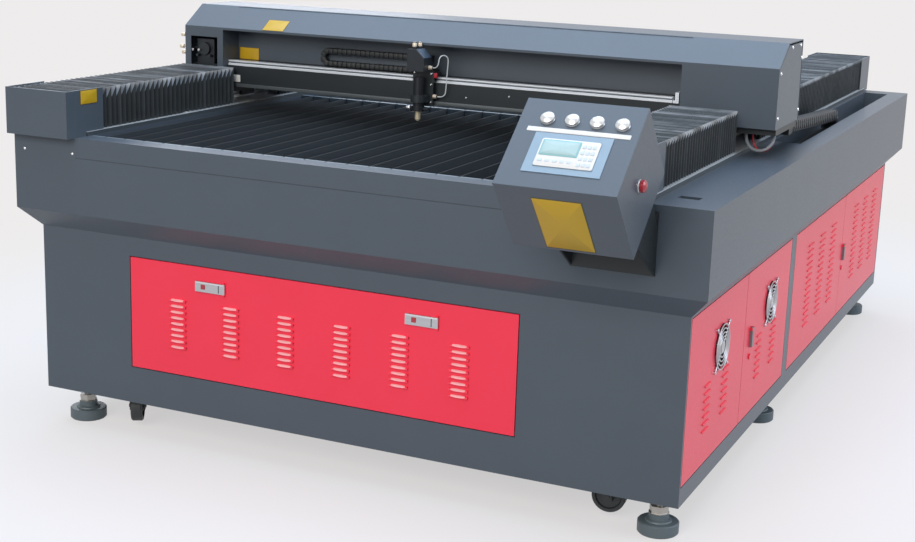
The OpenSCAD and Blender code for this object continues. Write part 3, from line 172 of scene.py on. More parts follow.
def coated_cloth(name):
    """Bellows cloth: black polyurethane-coated polyester, woven threads about 1 mm apart showing through the
    coating, with a pale painted highlight where light catches the corner folds and ridges. The weave is drawn
    at 4 mm so that it shows."""
    m, t, s, at = start(name, {"Sheen Weight": 0.1, "Sheen Roughness": 0.4, "Specular IOR Level": 0.35})
    fold = add(t, "Attribute", attribute_name="fold_highlight").outputs["Fac"]
    threads = {"Vector": at, "Scale": 1000 / 4 / 6.283, "Distortion": 0.4}
    warp = add(t, "TexWave", threads, bands_direction="Z")
    weft = add(t, "TexWave", threads, bands_direction="X")
    weave = add(t, "Math", {0: warp.outputs["Fac"], 1: weft.outputs["Fac"]}, operation="MULTIPLY")
    dust = add(t, "TexNoise", {"Vector": at, "Scale": 1000 / 60, "Detail": 5.0})
    base = add(t, "Mix", {"Factor": dust.outputs["Fac"], "A": srgb("#151b1e"), "B": srgb("#262f33")},
               data_type="RGBA")
    # Painted highlight: the fold attribute, its strength varied by noise, mixes in a pale grey
    painted_sheen = add(t, "TexNoise", {"Vector": at, "Scale": 1000 / 90, "Detail": 2.0})
    sheen_strength = add(t, "MapRange", {"Value": painted_sheen.outputs["Fac"], "From Min": 0.35, "From Max": 0.6,
                              "To Min": 0.25, "To Max": 1.0})
    pale = add(t, "Math", {0: fold, 1: sheen_strength.outputs["Result"]}, operation="MULTIPLY")
    tone = add(t, "Mix", {"Factor": pale.outputs[0], "A": base.outputs["Result"], "B": srgb("#d2d8df")},
               data_type="RGBA")
    gloss = add(t, "MapRange", {"Value": weave.outputs[0], "To Min": 0.4, "To Max": 0.55})
    bump = add(t, "Bump", {"Height": weave.outputs[0], "Strength": 0.12, "Distance": 0.0005})
    feed(t, s, Base_Color=tone.outputs["Result"], Roughness=gloss.outputs["Result"],
         Normal=bump.outputs["Normal"])
    return m


def zinc(name):
    """Hot-dip galvanised sheet: pale grey crystals about 12 mm across, each with its own tone and shine."""
    m, t, s, at = start(name, {"Metallic": 0.85})
    spangle = add(t, "TexVoronoi", {"Vector": at, "Scale": 1000 / 12})
    shade = add(t, "SeparateColor", {"Color": spangle.outputs["Color"]})
    tone = add(t, "Mix", {"Factor": shade.outputs[0], "A": srgb("#7d868b"), "B": srgb("#c3cacd")},
               data_type="RGBA")
    gloss = add(t, "MapRange", {"Value": shade.outputs[1], "To Min": 0.36, "To Max": 0.55})
    feed(t, s, Base_Color=tone.outputs["Result"], Roughness=gloss.outputs["Result"])
    return m


# Sheet steel: baked coats with a soft gloss, the red a little shinier than the slate blue
PAINT = powder_coat("powder_coat_slate_blue", "#4b555f", "#454f59", 0.42, 0.15)
RED = powder_coat("powder_coat_signal_red", "#f83852", "#f0324b", 0.36, 0.1, peel=0.04)
BLACK = powder_coat("black_oxide_steel", "#222a2e", "#191f22", 0.45, 0.1, peel_mm=3.0)
# Bed and guides: dull slats with their tops painted darker as shade, zinc in crystals, bright ground steel,
# and guide and rail steel whose pale colour is partly a painted reflection
SLAT = two_zones("oiled_steel_with_tops_painted_dark", "Z", 0.9605, "#353c41", "#1d2325", (0.55, 0.2), (0.8, 0.0))
ZINC = zinc("galvanised_sheet")
GROUND = brushed("ground_bearing_steel", "#e6e8e9", "#c2c7ca", 0.22, 1.5, 0)
# Long rails: painted base below; the ground steel guide on top is near-white and mostly matt as painted sheen
GUIDE = two_zones("painted_base_and_guide_steel_with_painted_sheen", "Z", 0.9745, "#414a50", "#eceff0",
                  (0.45, 0.1), (0.3, 0.4))
COMB = brushed("zinc_plated_comb_steel", "#77828a", "#68737b", 0.48, 2.0, 0, metallic=0.3)
# Cross rail: polished steel, its near-white, bluish, mostly matt colour a painted reflection of the pale sky
RAIL = brushed("polished_rail_steel_painted_reflection", "#eef4fa", "#e8eff6", 0.24, 1.5, 0, metallic=0.3, depth=0.006)
# Bellows, chains, wheels and fans: near black, with little shine
CLOTH = coated_cloth("coated_polyester_cloth")
CHAIN = moulded("glass_filled_nylon_black", "#2b2f32", "#1d2022", 0.45, 2.0)
NYLON = moulded("cast_nylon_dark", "#33383b", "#25292b", 0.5, 2.5)
FAN_ABS = moulded("abs_black", "#2a2e31", "#1e2224", 0.42, 2.0)
# Plated metal from bright to satin, and dark anodised housings with a faint metal shine
CHROME = brushed("bright_chrome_plate", "#e4e6e8", "#d2d6d9", 0.14, 2.0, 0, depth=0.03)
LATCH_GREY = brushed("zinc_plated_latch_steel", "#8b8d90", "#77797d", 0.42, 1.5, 2, metallic=0.5)
SATIN = brushed("satin_chrome_plate", "#c8c9cc", "#adafb4", 0.3, 1.2, 0, depth=0.08)
ANODISED = moulded("anodised_aluminium_blue_grey", "#4c5b6a", "#43515f", 0.5, 1.5, metallic=0.3, bump_by=0.06)
HOUSING = moulded("anodised_aluminium_black", "#2b3137", "#22272c", 0.4, 1.5, metallic=0.3, bump_by=0.06)
# Control panel: smooth printed films, a pale screen and its frame
FILM = moulded("printed_polyester_film_blue", "#8299aa", "#7b92a4", 0.3, 1.2, bump_by=0.04, coat=0.1)
WHITE_FILM = moulded("printed_polyester_film_white", "#dad8d3", "#d1cfca", 0.34, 1.2, bump_by=0.03, coat=0.1)
KEY_FILM = moulded("embossed_polyester_key", "#c4cdd4", "#bac4cc", 0.36, 1.2, bump_by=0.03)
SCREEN = moulded("liquid_crystal_glass", "#a3bdbb", "#98b3b2", 0.24, 1.0, bump_by=0.01, coat=0.1)
BEZEL = moulded("abs_teal_grey", "#86b4b6", "#7ba9ac", 0.35, 1.5)
# Coats of small areas: pale red as a painted highlight on the pressed louvre hoods, and the bare yellow
# plates
LOUVRE_HIGHLIGHT = powder_coat("powder_coat_red_painted_highlight", "#f8b3b4", "#f2a6a9", 0.4, 0.2, peel=0.03)
YELLOW = powder_coat("enamelled_yellow_plate", "#c6a11f", "#bc981a", 0.4, 0.1, peel=0.03)
YELLOW_EDGE = powder_coat("enamelled_dark_border", "#4d4626", "#433d22", 0.4, 0.2, peel=0.03)
# Buttons and knobs
BUTTON = brushed("polished_button_steel", "#e6e8e9", "#d6dadc", 0.28, 2.0, 0, depth=0.03)
CREAM = moulded("turned_aluminium_cream", "#e6d9c6", "#d8c9b2", 0.3, 1.5, metallic=0.4, bump_by=0.04)
STOP = moulded("polycarbonate_red", "#b02434", "#a01c2b", 0.28, 1.5, bump_by=0.03, coat=0.5)
# Feet, nozzle, casters, electrics and the beam's edge strip
IRON = two_zones("cast_iron_pad_and_zinc_nut", "Z", 0.0605, "#5d6a70", "#b4b1ab", (0.5, 0.1), (0.35, 0.85))
LENS = two_zones("brass_nozzle_and_black_tube", "Z", 1.0165, "#eddfbe", "#22252b", (0.3, 0.6), (0.36, 0.3))
FORK = powder_coat("black_zinc_caster", "#3b4043", "#2c3033", 0.4, 0.15, peel_mm=3.0)
BOX = powder_coat("grey_enamel_cabinet_parts", "#b9bec2", "#aeb4b8", 0.45, 0.1)
EDGE = brushed("extruded_aluminium_edge", "#5f6668", "#50575a", 0.45, 2.0, 0, metallic=0.4)
# Cords: plain sheaths, and a hose with some gloss
SHEATH = moulded("pvc_sheath_grey", "#8f969c", "#81888e", 0.5, 2.0)
SHEATH_RED = moulded("pvc_sheath_red", "#b52433", "#a41d2b", 0.48, 2.0)
HOSE = moulded("polyurethane_hose_pale", "#c9cfd1", "#b9c0c3", 0.3, 2.0, coat=0.3)


def glass(name):
    """Borosilicate tube: clear, faintly green-blue, with a few bubbles' worth of waviness."""
    m, t, s, at = start(name, {"Base Color": srgb("#dfeaee"), "Roughness": 0.05,
                               "Transmission Weight": 0.7, "IOR": 1.47})
    wave = add(t, "TexNoise", {"Vector": at, "Scale": 1000 / 80})
    bump = add(t, "Bump", {"Height": wave.outputs["Fac"], "Strength": 0.05, "Distance": 0.001})
    feed(t, s, Normal=bump.outputs["Normal"])
    return m


SLOT_FINISH = {"cabinet_paint": PAINT, "door_paint": RED, "electrics_metal": BOX, "galvanised_steel": ZINC,
               "dark_steel": BLACK, "ground_steel": GROUND, "bellows_cloth": CLOTH, "chain_plastic": CHAIN,
               "panel_film": FILM, "button_plastic": BUTTON, "stop_plastic": STOP, "foot_iron": IRON,
               "zinc_steel": FORK, "wheel_nylon": NYLON, "latch_chrome": SATIN, "fan_plastic": FAN_ABS,
               "tube_glass": glass("borosilicate_glass"), "head_aluminium": ANODISED, "nozzle_brass": LENS,
               "cable_sheath_grey": SHEATH, "cable_sheath_red": SHEATH_RED, "hose_plastic": HOSE}
OWN_FINISH = {"bed_slats": SLAT, "long_rails": GUIDE, "comb_bars": COMB, "cross_rail": RAIL,
              "mirror_mount": HOUSING, "head_mirror": HOUSING,
              "side_latch_b": LATCH_GREY, "side_latch_d": LATCH_GREY}
for part in frame["record"]["subparts"]:
    mesh = nodes[part["node"]].data
    mesh.materials.clear()
    mesh.materials.append(OWN_FINISH.get(part["node"], SLOT_FINISH[part["material_slot"]]))


# Shapes: each returns rows of points, which piece() joins into a mesh

def piece(name, grids, material, body=None, wrap=True, fold_highlight=None, sharp=32):
    """One mesh from grids of points (rows, columns, 3): neighbours are joined by four-sided faces, and wrap
    joins the last column to the first. Rows that shrink to a point close an end. Doubles are merged, then
    normals point out."""
    verts, faces, n = [], [], 0
    for grid in grids:
        rows, cols = grid.shape[:2]
        index = n + np.arange(rows * cols).reshape(rows, cols)
        if wrap:
            index = np.hstack([index, index[:, :1]])
        corners = [index[:-1, :-1], index[:-1, 1:], index[1:, 1:], index[1:, :-1]]
        faces.append(np.stack(corners, -1).reshape(-1, 4))
        verts.append(grid.reshape(-1, 3))
        n += rows * cols
    mesh = bpy.data.meshes.new(name)
    mesh.from_pydata(place(np.vstack(verts)), [], np.vstack(faces).tolist())
    if fold_highlight is not None:
        painted_sheen = mesh.attributes.new("fold_highlight", "FLOAT", "POINT")
        painted_sheen.data.foreach_set("value", fold_highlight.astype(np.float32).ravel())
    shape = bmesh.new()
    shape.from_mesh(mesh)
    bmesh.ops.remove_doubles(shape, verts=shape.verts, dist=1e-6)
    bmesh.ops.recalc_face_normals(shape, faces=shape.faces)
    shape.to_mesh(mesh)
    shape.free()
    mesh.polygons.foreach_set("use_smooth", np.ones(len(mesh.polygons), bool))
    mesh.set_sharp_from_angle(angle=np.radians(sharp))
    mesh.materials.append(material)
    obj = bpy.data.objects.new(name, mesh)
    scene.collection.objects.link(obj)
    if body:
        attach(obj, body)
    return obj


def axes(origin, u, v):
    """A local frame: rows u, v and w = u x v, to use as local points @ rows + origin."""
    u, v = np.array(u, float), np.array(v, float)
    return np.array([u, v, np.cross(u, v)]), np.array(origin, float)


def put(local, where):
    """Local points into the measuring frame."""
    return local @ where[0] + where[1]


def shut(rings):
    """Closes a stack of rings: its first and last ring shrink to their middle points."""
    ends = [np.broadcast_to(rings[k].mean(0), rings[k].shape) for k in (0, -1)]
    return np.concatenate([ends[:1], rings, ends[1:]])


def outline(w, h, r, n=6):
    """Rounded rectangle centred on 0: quarter circles of radius r at the corners, n points each."""
    a = np.linspace(0, np.pi / 2, n)
    turn = np.arange(4)[:, None] * np.pi / 2 + a
    sx, sy = np.array([1, -1, -1, 1])[:, None], np.array([1, 1, -1, -1])[:, None]
    across, along = sx * (w / 2 - r) + r * np.cos(turn), sy * (h / 2 - r) + r * np.sin(turn)
    return np.stack([across, along], -1).reshape(-1, 2)


def slab(where, cx, cy, w, h, t, r=3.0, painted_highlight=0.6, base=0.0):
    """Rounded plate on a face: an outline w by h raised from base by t, with its upper edge broken by
    edge."""
    steps = [(0, base), (0, base + t - painted_highlight), (painted_highlight * 0.3, base + t - painted_highlight * 0.3), (painted_highlight, base + t)]
    rings = [np.column_stack([outline(w - 2 * d, h - 2 * d, max(r - d, 0.2)) + [cx, cy], np.full(24, z)])
             for d, z in steps]
    return put(shut(np.array(rings)), where)


def turned(where, profile, n=32):
    """Turned shape: radius and height pairs of a profile, carried round the local third axis."""
    profile = np.asarray(profile, float)
    a = np.linspace(0, 2 * np.pi, n, endpoint=False)
    ring = np.stack([np.cos(a), np.sin(a), np.zeros(n)], -1)
    rings = profile[:, :1, None] * ring + profile[:, 1:, None] * np.array([0, 0, 1.0])
    return put(shut(rings), where)


def torus(where, major, minor, lift, n=48, k=10):
    """Wire ring: a circle of radius minor carried round a circle of radius major."""
    a = np.linspace(0, 2 * np.pi, n + 1)[:, None]
    b = np.linspace(0, 2 * np.pi, k, endpoint=False)[None, :]
    reach = major + minor * np.cos(b)
    height = np.broadcast_to(lift + minor * np.sin(b), (n + 1, k))
    return put(np.stack([reach * np.cos(a), reach * np.sin(a), height], -1), where)


def smooth_path(points, n):
    """Points evenly spread on a smooth curve through the given ones: Catmull-Rom, then resampled by
    length."""
    p = np.asarray(points, float)
    q = np.vstack([2 * p[0] - p[1], p, 2 * p[-1] - p[-2]])
    t = np.linspace(0, 1, 24, endpoint=False)[None, :, None]
    a, b, c, d = (q[i:len(q) - 3 + i, None] for i in range(4))
    bend, twist = 2 * a - 5 * b + 4 * c - d, 3 * b - a - 3 * c + d
    curve = 0.5 * (2 * b + (c - a) * t + bend * t ** 2 + twist * t ** 3)
    curve = np.vstack([curve.reshape(-1, 3), p[-1:]])
    s = np.concatenate([[0], np.cumsum(np.linalg.norm(np.diff(curve, axis=0), axis=1))])
    return np.stack([np.interp(np.linspace(0, s[-1], n), s, curve[:, i]) for i in range(3)], -1)


def tube(path, r, n=12, side=(0.13, 0.97, 0.2)):
    """Round tube: a circle of radius r carried along a path, square to it, with closed ends."""
    path = np.asarray(path, float)
    d = np.gradient(path, axis=0)
    d /= np.linalg.norm(d, axis=1, keepdims=True)
    u = np.cross(d, side)
    u /= np.linalg.norm(u, axis=1, keepdims=True)
    v = np.cross(d, u)
    a = np.linspace(0, 2 * np.pi, n, endpoint=False)[None, :, None]
    return shut(path[:, None] + r * (np.cos(a) * u[:, None] + np.sin(a) * v[:, None]))


def screw_head(where, cx, cy, r=5.0, h=3.0):
    """Button-head screw: a low dome with a sunk socket."""
    spot = (where[0], where[1] + np.array([cx, cy, 0.0]) @ where[0])
    dome = [(r, 0), (r, h * 0.35), (r * 0.8, h * 0.8), (r * 0.52, h), (r * 0.45, h), (r * 0.4, h * 0.45)]
    return turned(spot, dome, 16)


# Frames of the faces that carry small pieces: x along u, y along v, height out of the face
TILT = np.radians(41)
UP_FACE = np.array([0, np.cos(TILT), np.sin(TILT)])
OUT_FACE = np.array([0, -np.sin(TILT), np.cos(TILT)])
CONSOLE = np.array([683, -466.28, 1050.0])
console_top = axes(CONSOLE, (1, 0, 0), UP_FACE)
console_front = axes(CONSOLE, (1, 0, 0), OUT_FACE)
console_back = axes(CONSOLE + 282 * UP_FACE, (1, 0, 0), -OUT_FACE)
tray_front = axes((0, -56, 0), (1, 0, 0), (0, 0, 1))
SLOPE = np.array([0, 110, 71.0]) / np.hypot(110, 71)
hood_slope = axes((0, 840, 1243), (1, 0, 0), SLOPE)
recess_wall = axes((0, 944, 0), (1, 0, 0), (0, 0, 1))
beam_front = axes((0, 866, 0), (1, 0, 0), (0, 0, 1))
end_plate = axes((1060, 0, 0), (0, 1, 0), (0, 0, 1))
left_cover_side = axes((-890, 0, 0), (0, 1, 0), (0, 0, 1))


# Camera, at the photograph's view

camera = bpy.data.objects.new("camera", bpy.data.cameras.new("camera"))
camera.data.lens = 60.28
camera.data.sensor_width = 36
camera.data.clip_end = 200
right, up = np.array([0.90726, 0.41934, 0.03213]), np.array([-0.12681, 0.19992, 0.97159])
turn = np.column_stack([right, up, np.cross(right, up)])
turn = np.linalg.qr(turn)[0] * np.sign(np.diag(np.linalg.qr(turn)[1]))
view = np.eye(4)
view[:3, :3] = turn
view[:3, 3] = [2.1148, -5.1123, 1.7074]
camera.matrix_world = Matrix(view.tolist())
scene.collection.objects.link(camera)
scene.camera = camera


# Cords: two cable loops at the bridge's right end and the head's air hose, on their solids' routes, in metres

GREY_ROUTE = [(0.955, -0.389359, 1.034), (0.955, -0.389359, 1.020), (0.960, -0.392359, 1.002),
              (0.974, -0.397359, 0.986), (0.998, -0.399359, 0.979), (1.022, -0.397359, 0.986),
              (1.037, -0.391359, 1.002), (1.042, -0.385359, 1.020), (1.042, -0.384359, 1.034)]
RED_ROUTE = [(0.972, -0.373359, 1.034), (0.972, -0.373359, 1.020), (0.976, -0.374359, 1.000),
             (0.988, -0.375359, 0.982), (1.006, -0.375359, 0.974), (1.024, -0.373359, 0.982),
             (1.036, -0.369359, 1.000), (1.040, -0.367359, 1.020), (1.040, -0.367359, 1.034)]
HOSE_ROUTE = [(-0.0980, -0.477359, 1.1630), (-0.0894, -0.477359, 1.1640), (-0.0832, -0.477359, 1.1694),
              (-0.0792, -0.477359, 1.1766), (-0.0780, -0.476959, 1.1848), (-0.0772, -0.475959, 1.1932),
              (-0.0744, -0.473159, 1.2004), (-0.0698, -0.468559, 1.2050), (-0.0642, -0.462959, 1.2056),
              (-0.0590, -0.457759, 1.2024), (-0.0556, -0.454359, 1.1960), (-0.0546, -0.452959, 1.1880),
              (-0.0548, -0.452559, 1.1794), (-0.0554, -0.452559, 1.1708), (-0.0560, -0.452559, 1.1622),
              (-0.0568, -0.452359, 1.1536), (-0.0572, -0.452359, 1.1448), (-0.0578, -0.452359, 1.1362),
              (-0.0584, -0.452359, 1.1276), (-0.0588, -0.452359, 1.1190), (-0.0594, -0.452359, 1.1104),
              (-0.0598, -0.452359, 1.1018), (-0.0604, -0.452359, 1.0932), (-0.0610, -0.452359, 1.0846),
              (-0.0630, -0.452359, 1.0764), (-0.0678, -0.452359, 1.0698), (-0.0750, -0.452359, 1.0662),
              (-0.0834, -0.452359, 1.0650), (-0.0920, -0.452359, 1.0650)]


def cord(name, node, route, r, material, body):
    """A free cord: a tube along its smooth route in metres, in place of its solid, which is hidden."""
    path = smooth_path(route, 40)
    obj = piece(name, [tube(path * 1000 + [0, MID_Y, 0], r * 1000, 14)], material, body)
    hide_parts(node)


cord("grey_cable_loop", "cable_grey", GREY_ROUTE, 0.005, SHEATH, "bridge")
cord("red_cable_loop", "cable_red", RED_ROUTE, 0.003, SHEATH_RED, "bridge")
cord("air_hose_loop", "air_hose", HOSE_ROUTE, 0.002, HOSE, "head")


# Pieces in sections: w, the share of the moving body's travel, is worked out nearly even along the piece by
# sections; no blend is set up on the pieces

SHARES = np.array([0, 0.06, 0.2, 0.5, 0.8, 0.94, 1.0])
LENGTHS = np.array([0, 0.0936, 0.2347, 0.5, 0.7653, 0.9064, 1.0])


def stretch(obj, axis, a, b, wa, wb, bodies):
    """Works out the ends of a blend from share wa at a to wb at b and bakes the object's transform; the blend
    itself is not set up. The blend's own curve is 3t2 - 2t3, so its ends are put where that curve has these
    shares: t = 1/2 - sin(asin(1 - 2w) / 3)."""
    ta, tb = 0.5 - np.sin(np.arcsin(1 - 2 * np.array([wa, wb])) / 3)
    ends = np.zeros((2, 3))
    ends[0, axis] = a - ta * (b - a) / (tb - ta)
    ends[1, axis] = ends[0, axis] + (b - a) / (tb - ta)
    ends = place(ends)
    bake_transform(obj)


# The bellows' half width, foot and top, then the pitch and depth of a pleat
HALF_W, FOOT_Z, TOP_Z = 111, 977.0, 1105
PLEAT, PLEAT_DEPTH = 25.5, 14
# Half the flat on a fold, as a share of a pleat
FOLD_FLAT = 0.045
# How far the upper corners are cut off on a ridge and in a valley
RIDGE_CUT, VALLEY_CUT = 2, 30


def bellows_rings(x, y, fold, thick=1.6):
    """Upturned U of folded cloth at each y: fold is 0 on a ridge and 1 in a valley. The outline goes in by
    the pleat's depth and its upper corners are cut off as it goes into a valley, which folds a triangle
    there. Each ring runs along the cloth's outside and back along its inside."""
    d = PLEAT_DEPTH * fold[:, None]
    cut = RIDGE_CUT + (VALLEY_CUT - RIDGE_CUT) * fold[:, None]

    def u(w, h, c):
        z0 = np.full_like(w, FOOT_Z)
        across = np.hstack([-w, -w, -w, -w + c, -w + c + 1, w - c - 1, w - c, w, w, w])
        return np.stack([across, np.hstack([z0, h - c - 1, h - c, h, h, h, h, h - c, h - c - 1, z0])], -1)

    outer = u(HALF_W - d, TOP_Z - d, cut)
    inner = u(HALF_W - d - thick, TOP_Z - d - thick, cut)[:, ::-1]
    loop = np.concatenate([outer, inner], 1)
    return np.stack([x + loop[..., 0], np.broadcast_to(y[:, None], loop.shape[:2]), loop[..., 1]], -1)


# Where the 20 columns carry the painted highlight: the corner triangles in the valleys, the top edge and the
# sides on the ridges
CORNER = np.array([0, 0, 1, 1, 0, 0, 1, 1, 0, 0] + [0] * 10)
RIDGE = np.array([0.06, 0.06, 0, 0, 0.5, 0.5, 0, 0, 0.06, 0.06] + [0] * 10)


def bellows(name, node, x, fixed, moving):
    """Pleats between a fixed and a moving end: two rows of points at every ridge and valley keep the folds
    from being knife-sharp. Six sections share the travel. Some ridges get a stronger painted highlight than
    others, by the far digits of a sine."""
    count = max(2, round(abs(moving - fixed) / PLEAT))
    for k in range(6):
        a, b = LENGTHS[k] * count, LENGTHS[k + 1] * count
        marks = np.arange(np.floor(2 * a), np.ceil(2 * b) + 1) / 2
        s = np.unique(np.clip(np.concatenate([marks - FOLD_FLAT, marks + FOLD_FLAT, [a, b]]), a, b))
        phase = np.abs((s % 1) - 0.5) * 2
        fold = 1 - np.clip((phase - 0.05) / 0.9, 0, 1)
        y = fixed + s / count * (moving - fixed)
        rings = bellows_rings(x, y, fold)
        # Painted highlight on the ridges, stronger on some, added to the one on the corner triangles
        worn = np.clip(1 - 8 * fold, 0, 1) * (np.sin(12.9898 * np.round(s)) * 43758.5 % 1) ** 2
        fold_highlight = np.outer(0.4 + 0.6 * fold, CORNER) + np.outer(worn, RIDGE)
        obj = piece(f"{name}_{k + 1}", [rings], CLOTH, fold_highlight=fold_highlight, sharp=14)
        ends = fixed + LENGTHS[k:k + 2] * (moving - fixed)
        stretch(obj, 1, *ends, *SHARES[k:k + 2], ("machine", "bridge"))
        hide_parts(node)


for side, rail_x in (("left", -1006), ("right", 829)):
    bellows(f"{side}_front_bellows", "front_bellows", rail_x, -92, 839.7)
    bellows(f"{side}_rear_bellows", "rear_bellows", rail_x, 3062, 1155.3)


def chain_links(lower, upper, radius, pitch):
    """Links on a route of a straight, a half turn and a straight back: distance along, height, angle,
    pitch."""
    total = lower + upper + np.pi * radius
    n = int(total // pitch)
    s = (np.arange(n) + 0.5) * total / n
    bend = np.clip((s - lower) / radius, 0, np.pi)
    along = np.minimum(s, lower) + radius * np.sin(bend) - np.maximum(s - lower - np.pi * radius, 0)
    return along, radius - radius * np.cos(bend), bend, total / n


def link(along, height, angle, pitch, w, h, carry):
    """One link: a rounded box with a narrower tongue that reaches into the next, and a boss on each cheek."""
    steps = [(-0.5, 0.86), (-0.44, 1.0), (0.26, 1.0), (0.3, 0.93), (0.3, 0.82), (0.56, 0.82)]
    ring = outline(w, h, h * 0.14, 3)
    rings = np.array([np.column_stack([np.full(12, s * pitch), ring * k]) for s, k in steps])
    a = np.linspace(0, 2 * np.pi, 12, endpoint=False)
    boss = np.array([np.column_stack([h * r * np.cos(a), np.full(12, e), h * r * np.sin(a)])
                     for r, e in ((0.3, w * 0.42), (0.3, w / 2 + 1.0), (0.22, w / 2 + 1.4))])
    c, s = np.cos(angle), np.sin(angle)
    out = []
    for grid in (rings, boss, boss * [1, -1, 1]):
        grid = shut(grid)
        out.append(carry(along + grid[..., 0] * c - grid[..., 2] * s, grid[..., 1],
                         height + grid[..., 0] * s + grid[..., 2] * c))
    return out


# A blend whose ends are this far off, in millimetres, stays at 1/2 over a whole bend
FAR_OFF = 50000


def chain(name, node, axis, lower, upper, radius, pitch, w, h, carry, origin, way, bodies):
    """Drag chain in sections: the fixed run is given shares from 0 to 1/2, the bend 1/2 and the moving run up
    to 1; the blends are worked out but not set up."""
    along, height, angle, pitch = chain_links(lower, upper, radius, pitch)
    groups = {}
    for a, z, t in zip(along, height, angle):
        if 0.01 < t < np.pi - 0.01:
            key = ("bend", 0)
        else:
            share = a / lower / 2 if t < 0.1 else 0.5 + (lower - a) / upper / 2
            key = ("fixed" if t < 0.1 else "moving", int(np.clip(np.searchsorted(LENGTHS, share) - 1, 0, 5)))
        groups.setdefault(key, []).extend(link(a, z, t, pitch, w, h, carry))
    for (run, k), grids in groups.items():
        obj = piece(f"{name}_{run}_{k + 1}", grids, CHAIN)
        if run == "bend":
            ends = np.zeros((2, 3))
            ends[:, axis] = origin + way * lower + np.array([-FAR_OFF, FAR_OFF])
            ends = place(ends)
            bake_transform(obj)
        else:
            x = LENGTHS[k:k + 2]
            ends = x * 2 * lower if run == "fixed" else lower - (x - 0.5) * 2 * upper
            stretch(obj, axis, *(origin + way * ends), *SHARES[k:k + 2], bodies)
        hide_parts(node)


# Each chain's start, the lengths of its fixed and moving runs and the radius of its bend
LONG_START, LONG_FIXED, LONG_MOVING, LONG_BEND, LONG_SAG = (1009, 1430, 908.3), 495, 747.7, 36, 44
CROSS_START, CROSS_FIXED, CROSS_MOVING, CROSS_BEND = (-130, 927, 1138), 422, 369.7, 22


def sagging(a, b, z):
    """The long chain's place: its upper run hangs from the bridge to a tight bend, lower by the sag."""
    rise = LONG_SAG * np.clip((LONG_FIXED - a) / LONG_MOVING, 0, 1) ** 1.2
    x0, y0, z0 = LONG_START
    return np.stack([x0 + b, y0 + a, z0 + z + np.where(z > LONG_BEND, rise, 0)], -1)


def level(a, b, z):
    """The cross chain's place: it runs to the left along the bridge, its two runs level."""
    x0, y0, z0 = CROSS_START
    return np.stack([x0 - a, y0 + b, z0 + z], -1)


chain("long_chain", "long_drag_chain", 1, LONG_FIXED, LONG_MOVING, LONG_BEND, 32, 56, 40, sagging,
      LONG_START[1], 1, ("machine", "bridge"))
chain("cross_chain", "cross_drag_chain", 0, CROSS_FIXED, CROSS_MOVING, CROSS_BEND, 18, 27, 19, level,
      CROSS_START[0], -1, ("bridge", "head"))


# Console: panel, screen, keys, label strip, bare plates and bezels

piece("label_strip", [slab(console_top, 164, 183, 268, 14, 1.2, 2)], WHITE_FILM, "machine")
piece("key_pad_film", [slab(console_top, 158.5, 110, 152, 88, 0.6, 7, base=4.0)], WHITE_FILM, "machine")
piece("screen_frame", [slab(console_top, 136.5, 125, 100, 50, 1.4, 3, base=4.2)], BEZEL, "machine")
piece("screen_glass", [slab(console_top, 136.5, 125, 91, 41, 1.0, 2, base=5.2)], SCREEN, "machine")
keys = [slab(console_top, 196 + 13 * i, 79.5 + 19 * j, 10, 12, 1.8, 3, base=4.0)
        for i in range(3) for j in range(4)]
keys += [slab(console_top, 96 + 19 * i, 84, 13, 9, 1.2, 3, base=4.2) for i in range(5)]
piece("panel_keys", keys, KEY_FILM, "machine")
BEZEL_PROFILE = [(14, 0), (18.5, 0), (18.5, 1.2), (17.4, 2.6), (16.6, 2.8), (16.4, 2.0), (14, 1.6)]
BUTTON_X, BUTTON_PITCH, BUTTON_UP = 73, 65, 218
button_spots = [CONSOLE + [BUTTON_X + BUTTON_PITCH * i, 0, 0] + BUTTON_UP * UP_FACE for i in range(4)]
piece("button_bezels", [turned(axes(at, (1, 0, 0), UP_FACE), BEZEL_PROFILE) for at in button_spots], SATIN,
      "machine")
piece("stop_collar", [turned(axes(CONSOLE + [317, 0, 0] + 126 * UP_FACE - 108 * OUT_FACE, UP_FACE, OUT_FACE),
                             [(11, 0), (17, 0), (17, 1.6), (15.4, 3.4), (11, 3.4)])], SATIN, "machine")
piece("console_screws", [screw_head(console_back, x, 10, 4.5, 3.5) for x in (76, 296)], CHROME, "machine")


def bare_plate(name, where, cx, cy, w, h, body, border=2.5):
    """A thin bare plate with a darker rim: the rim's plate below, the plain plate on it."""
    piece(name + "_rim", [slab(where, cx, cy, w, h, 0.8, 1.5, 0.3)], YELLOW_EDGE, body)
    piece(name, [slab(where, cx, cy, w - 2 * border, h - 2 * border, 1.2, 1.0, 0.3)], YELLOW, body)


bare_plate("console_plate", console_front, 156, -135, 132, 194, "machine")
bare_plate("slope_plate", hood_slope, -736, 32, 86, 62, "bridge", 1.5)
bare_plate("recess_plate", recess_wall, -894, 1143, 82, 52, "bridge", 1.5)
bare_plate("cover_plate", left_cover_side, 14, 1083, 82, 44, "machine", 1.5)
piece("beam_plate", [slab(beam_front, -904, 1064, 40, 25, 1.0, 1.5, 0.3)], WHITE_FILM, "bridge")
piece("beam_edge_strip", [slab(beam_front, -90, 1040, 1640, 12, 2.0, 1.0, 0.4)], EDGE, "bridge")


# Cross rail: a dark strip along its groove

rail_groove = axes((0, 878, 0), (1, 0, 0), (0, 0, 1))
piece("rail_groove_dark_strip", [slab(rail_groove, -110, 1118.9, 1656, 3.2, 2.4, 0.4, 0.2)], EDGE, "bridge")


# Screws on the tray, the beam and the bridge's right end

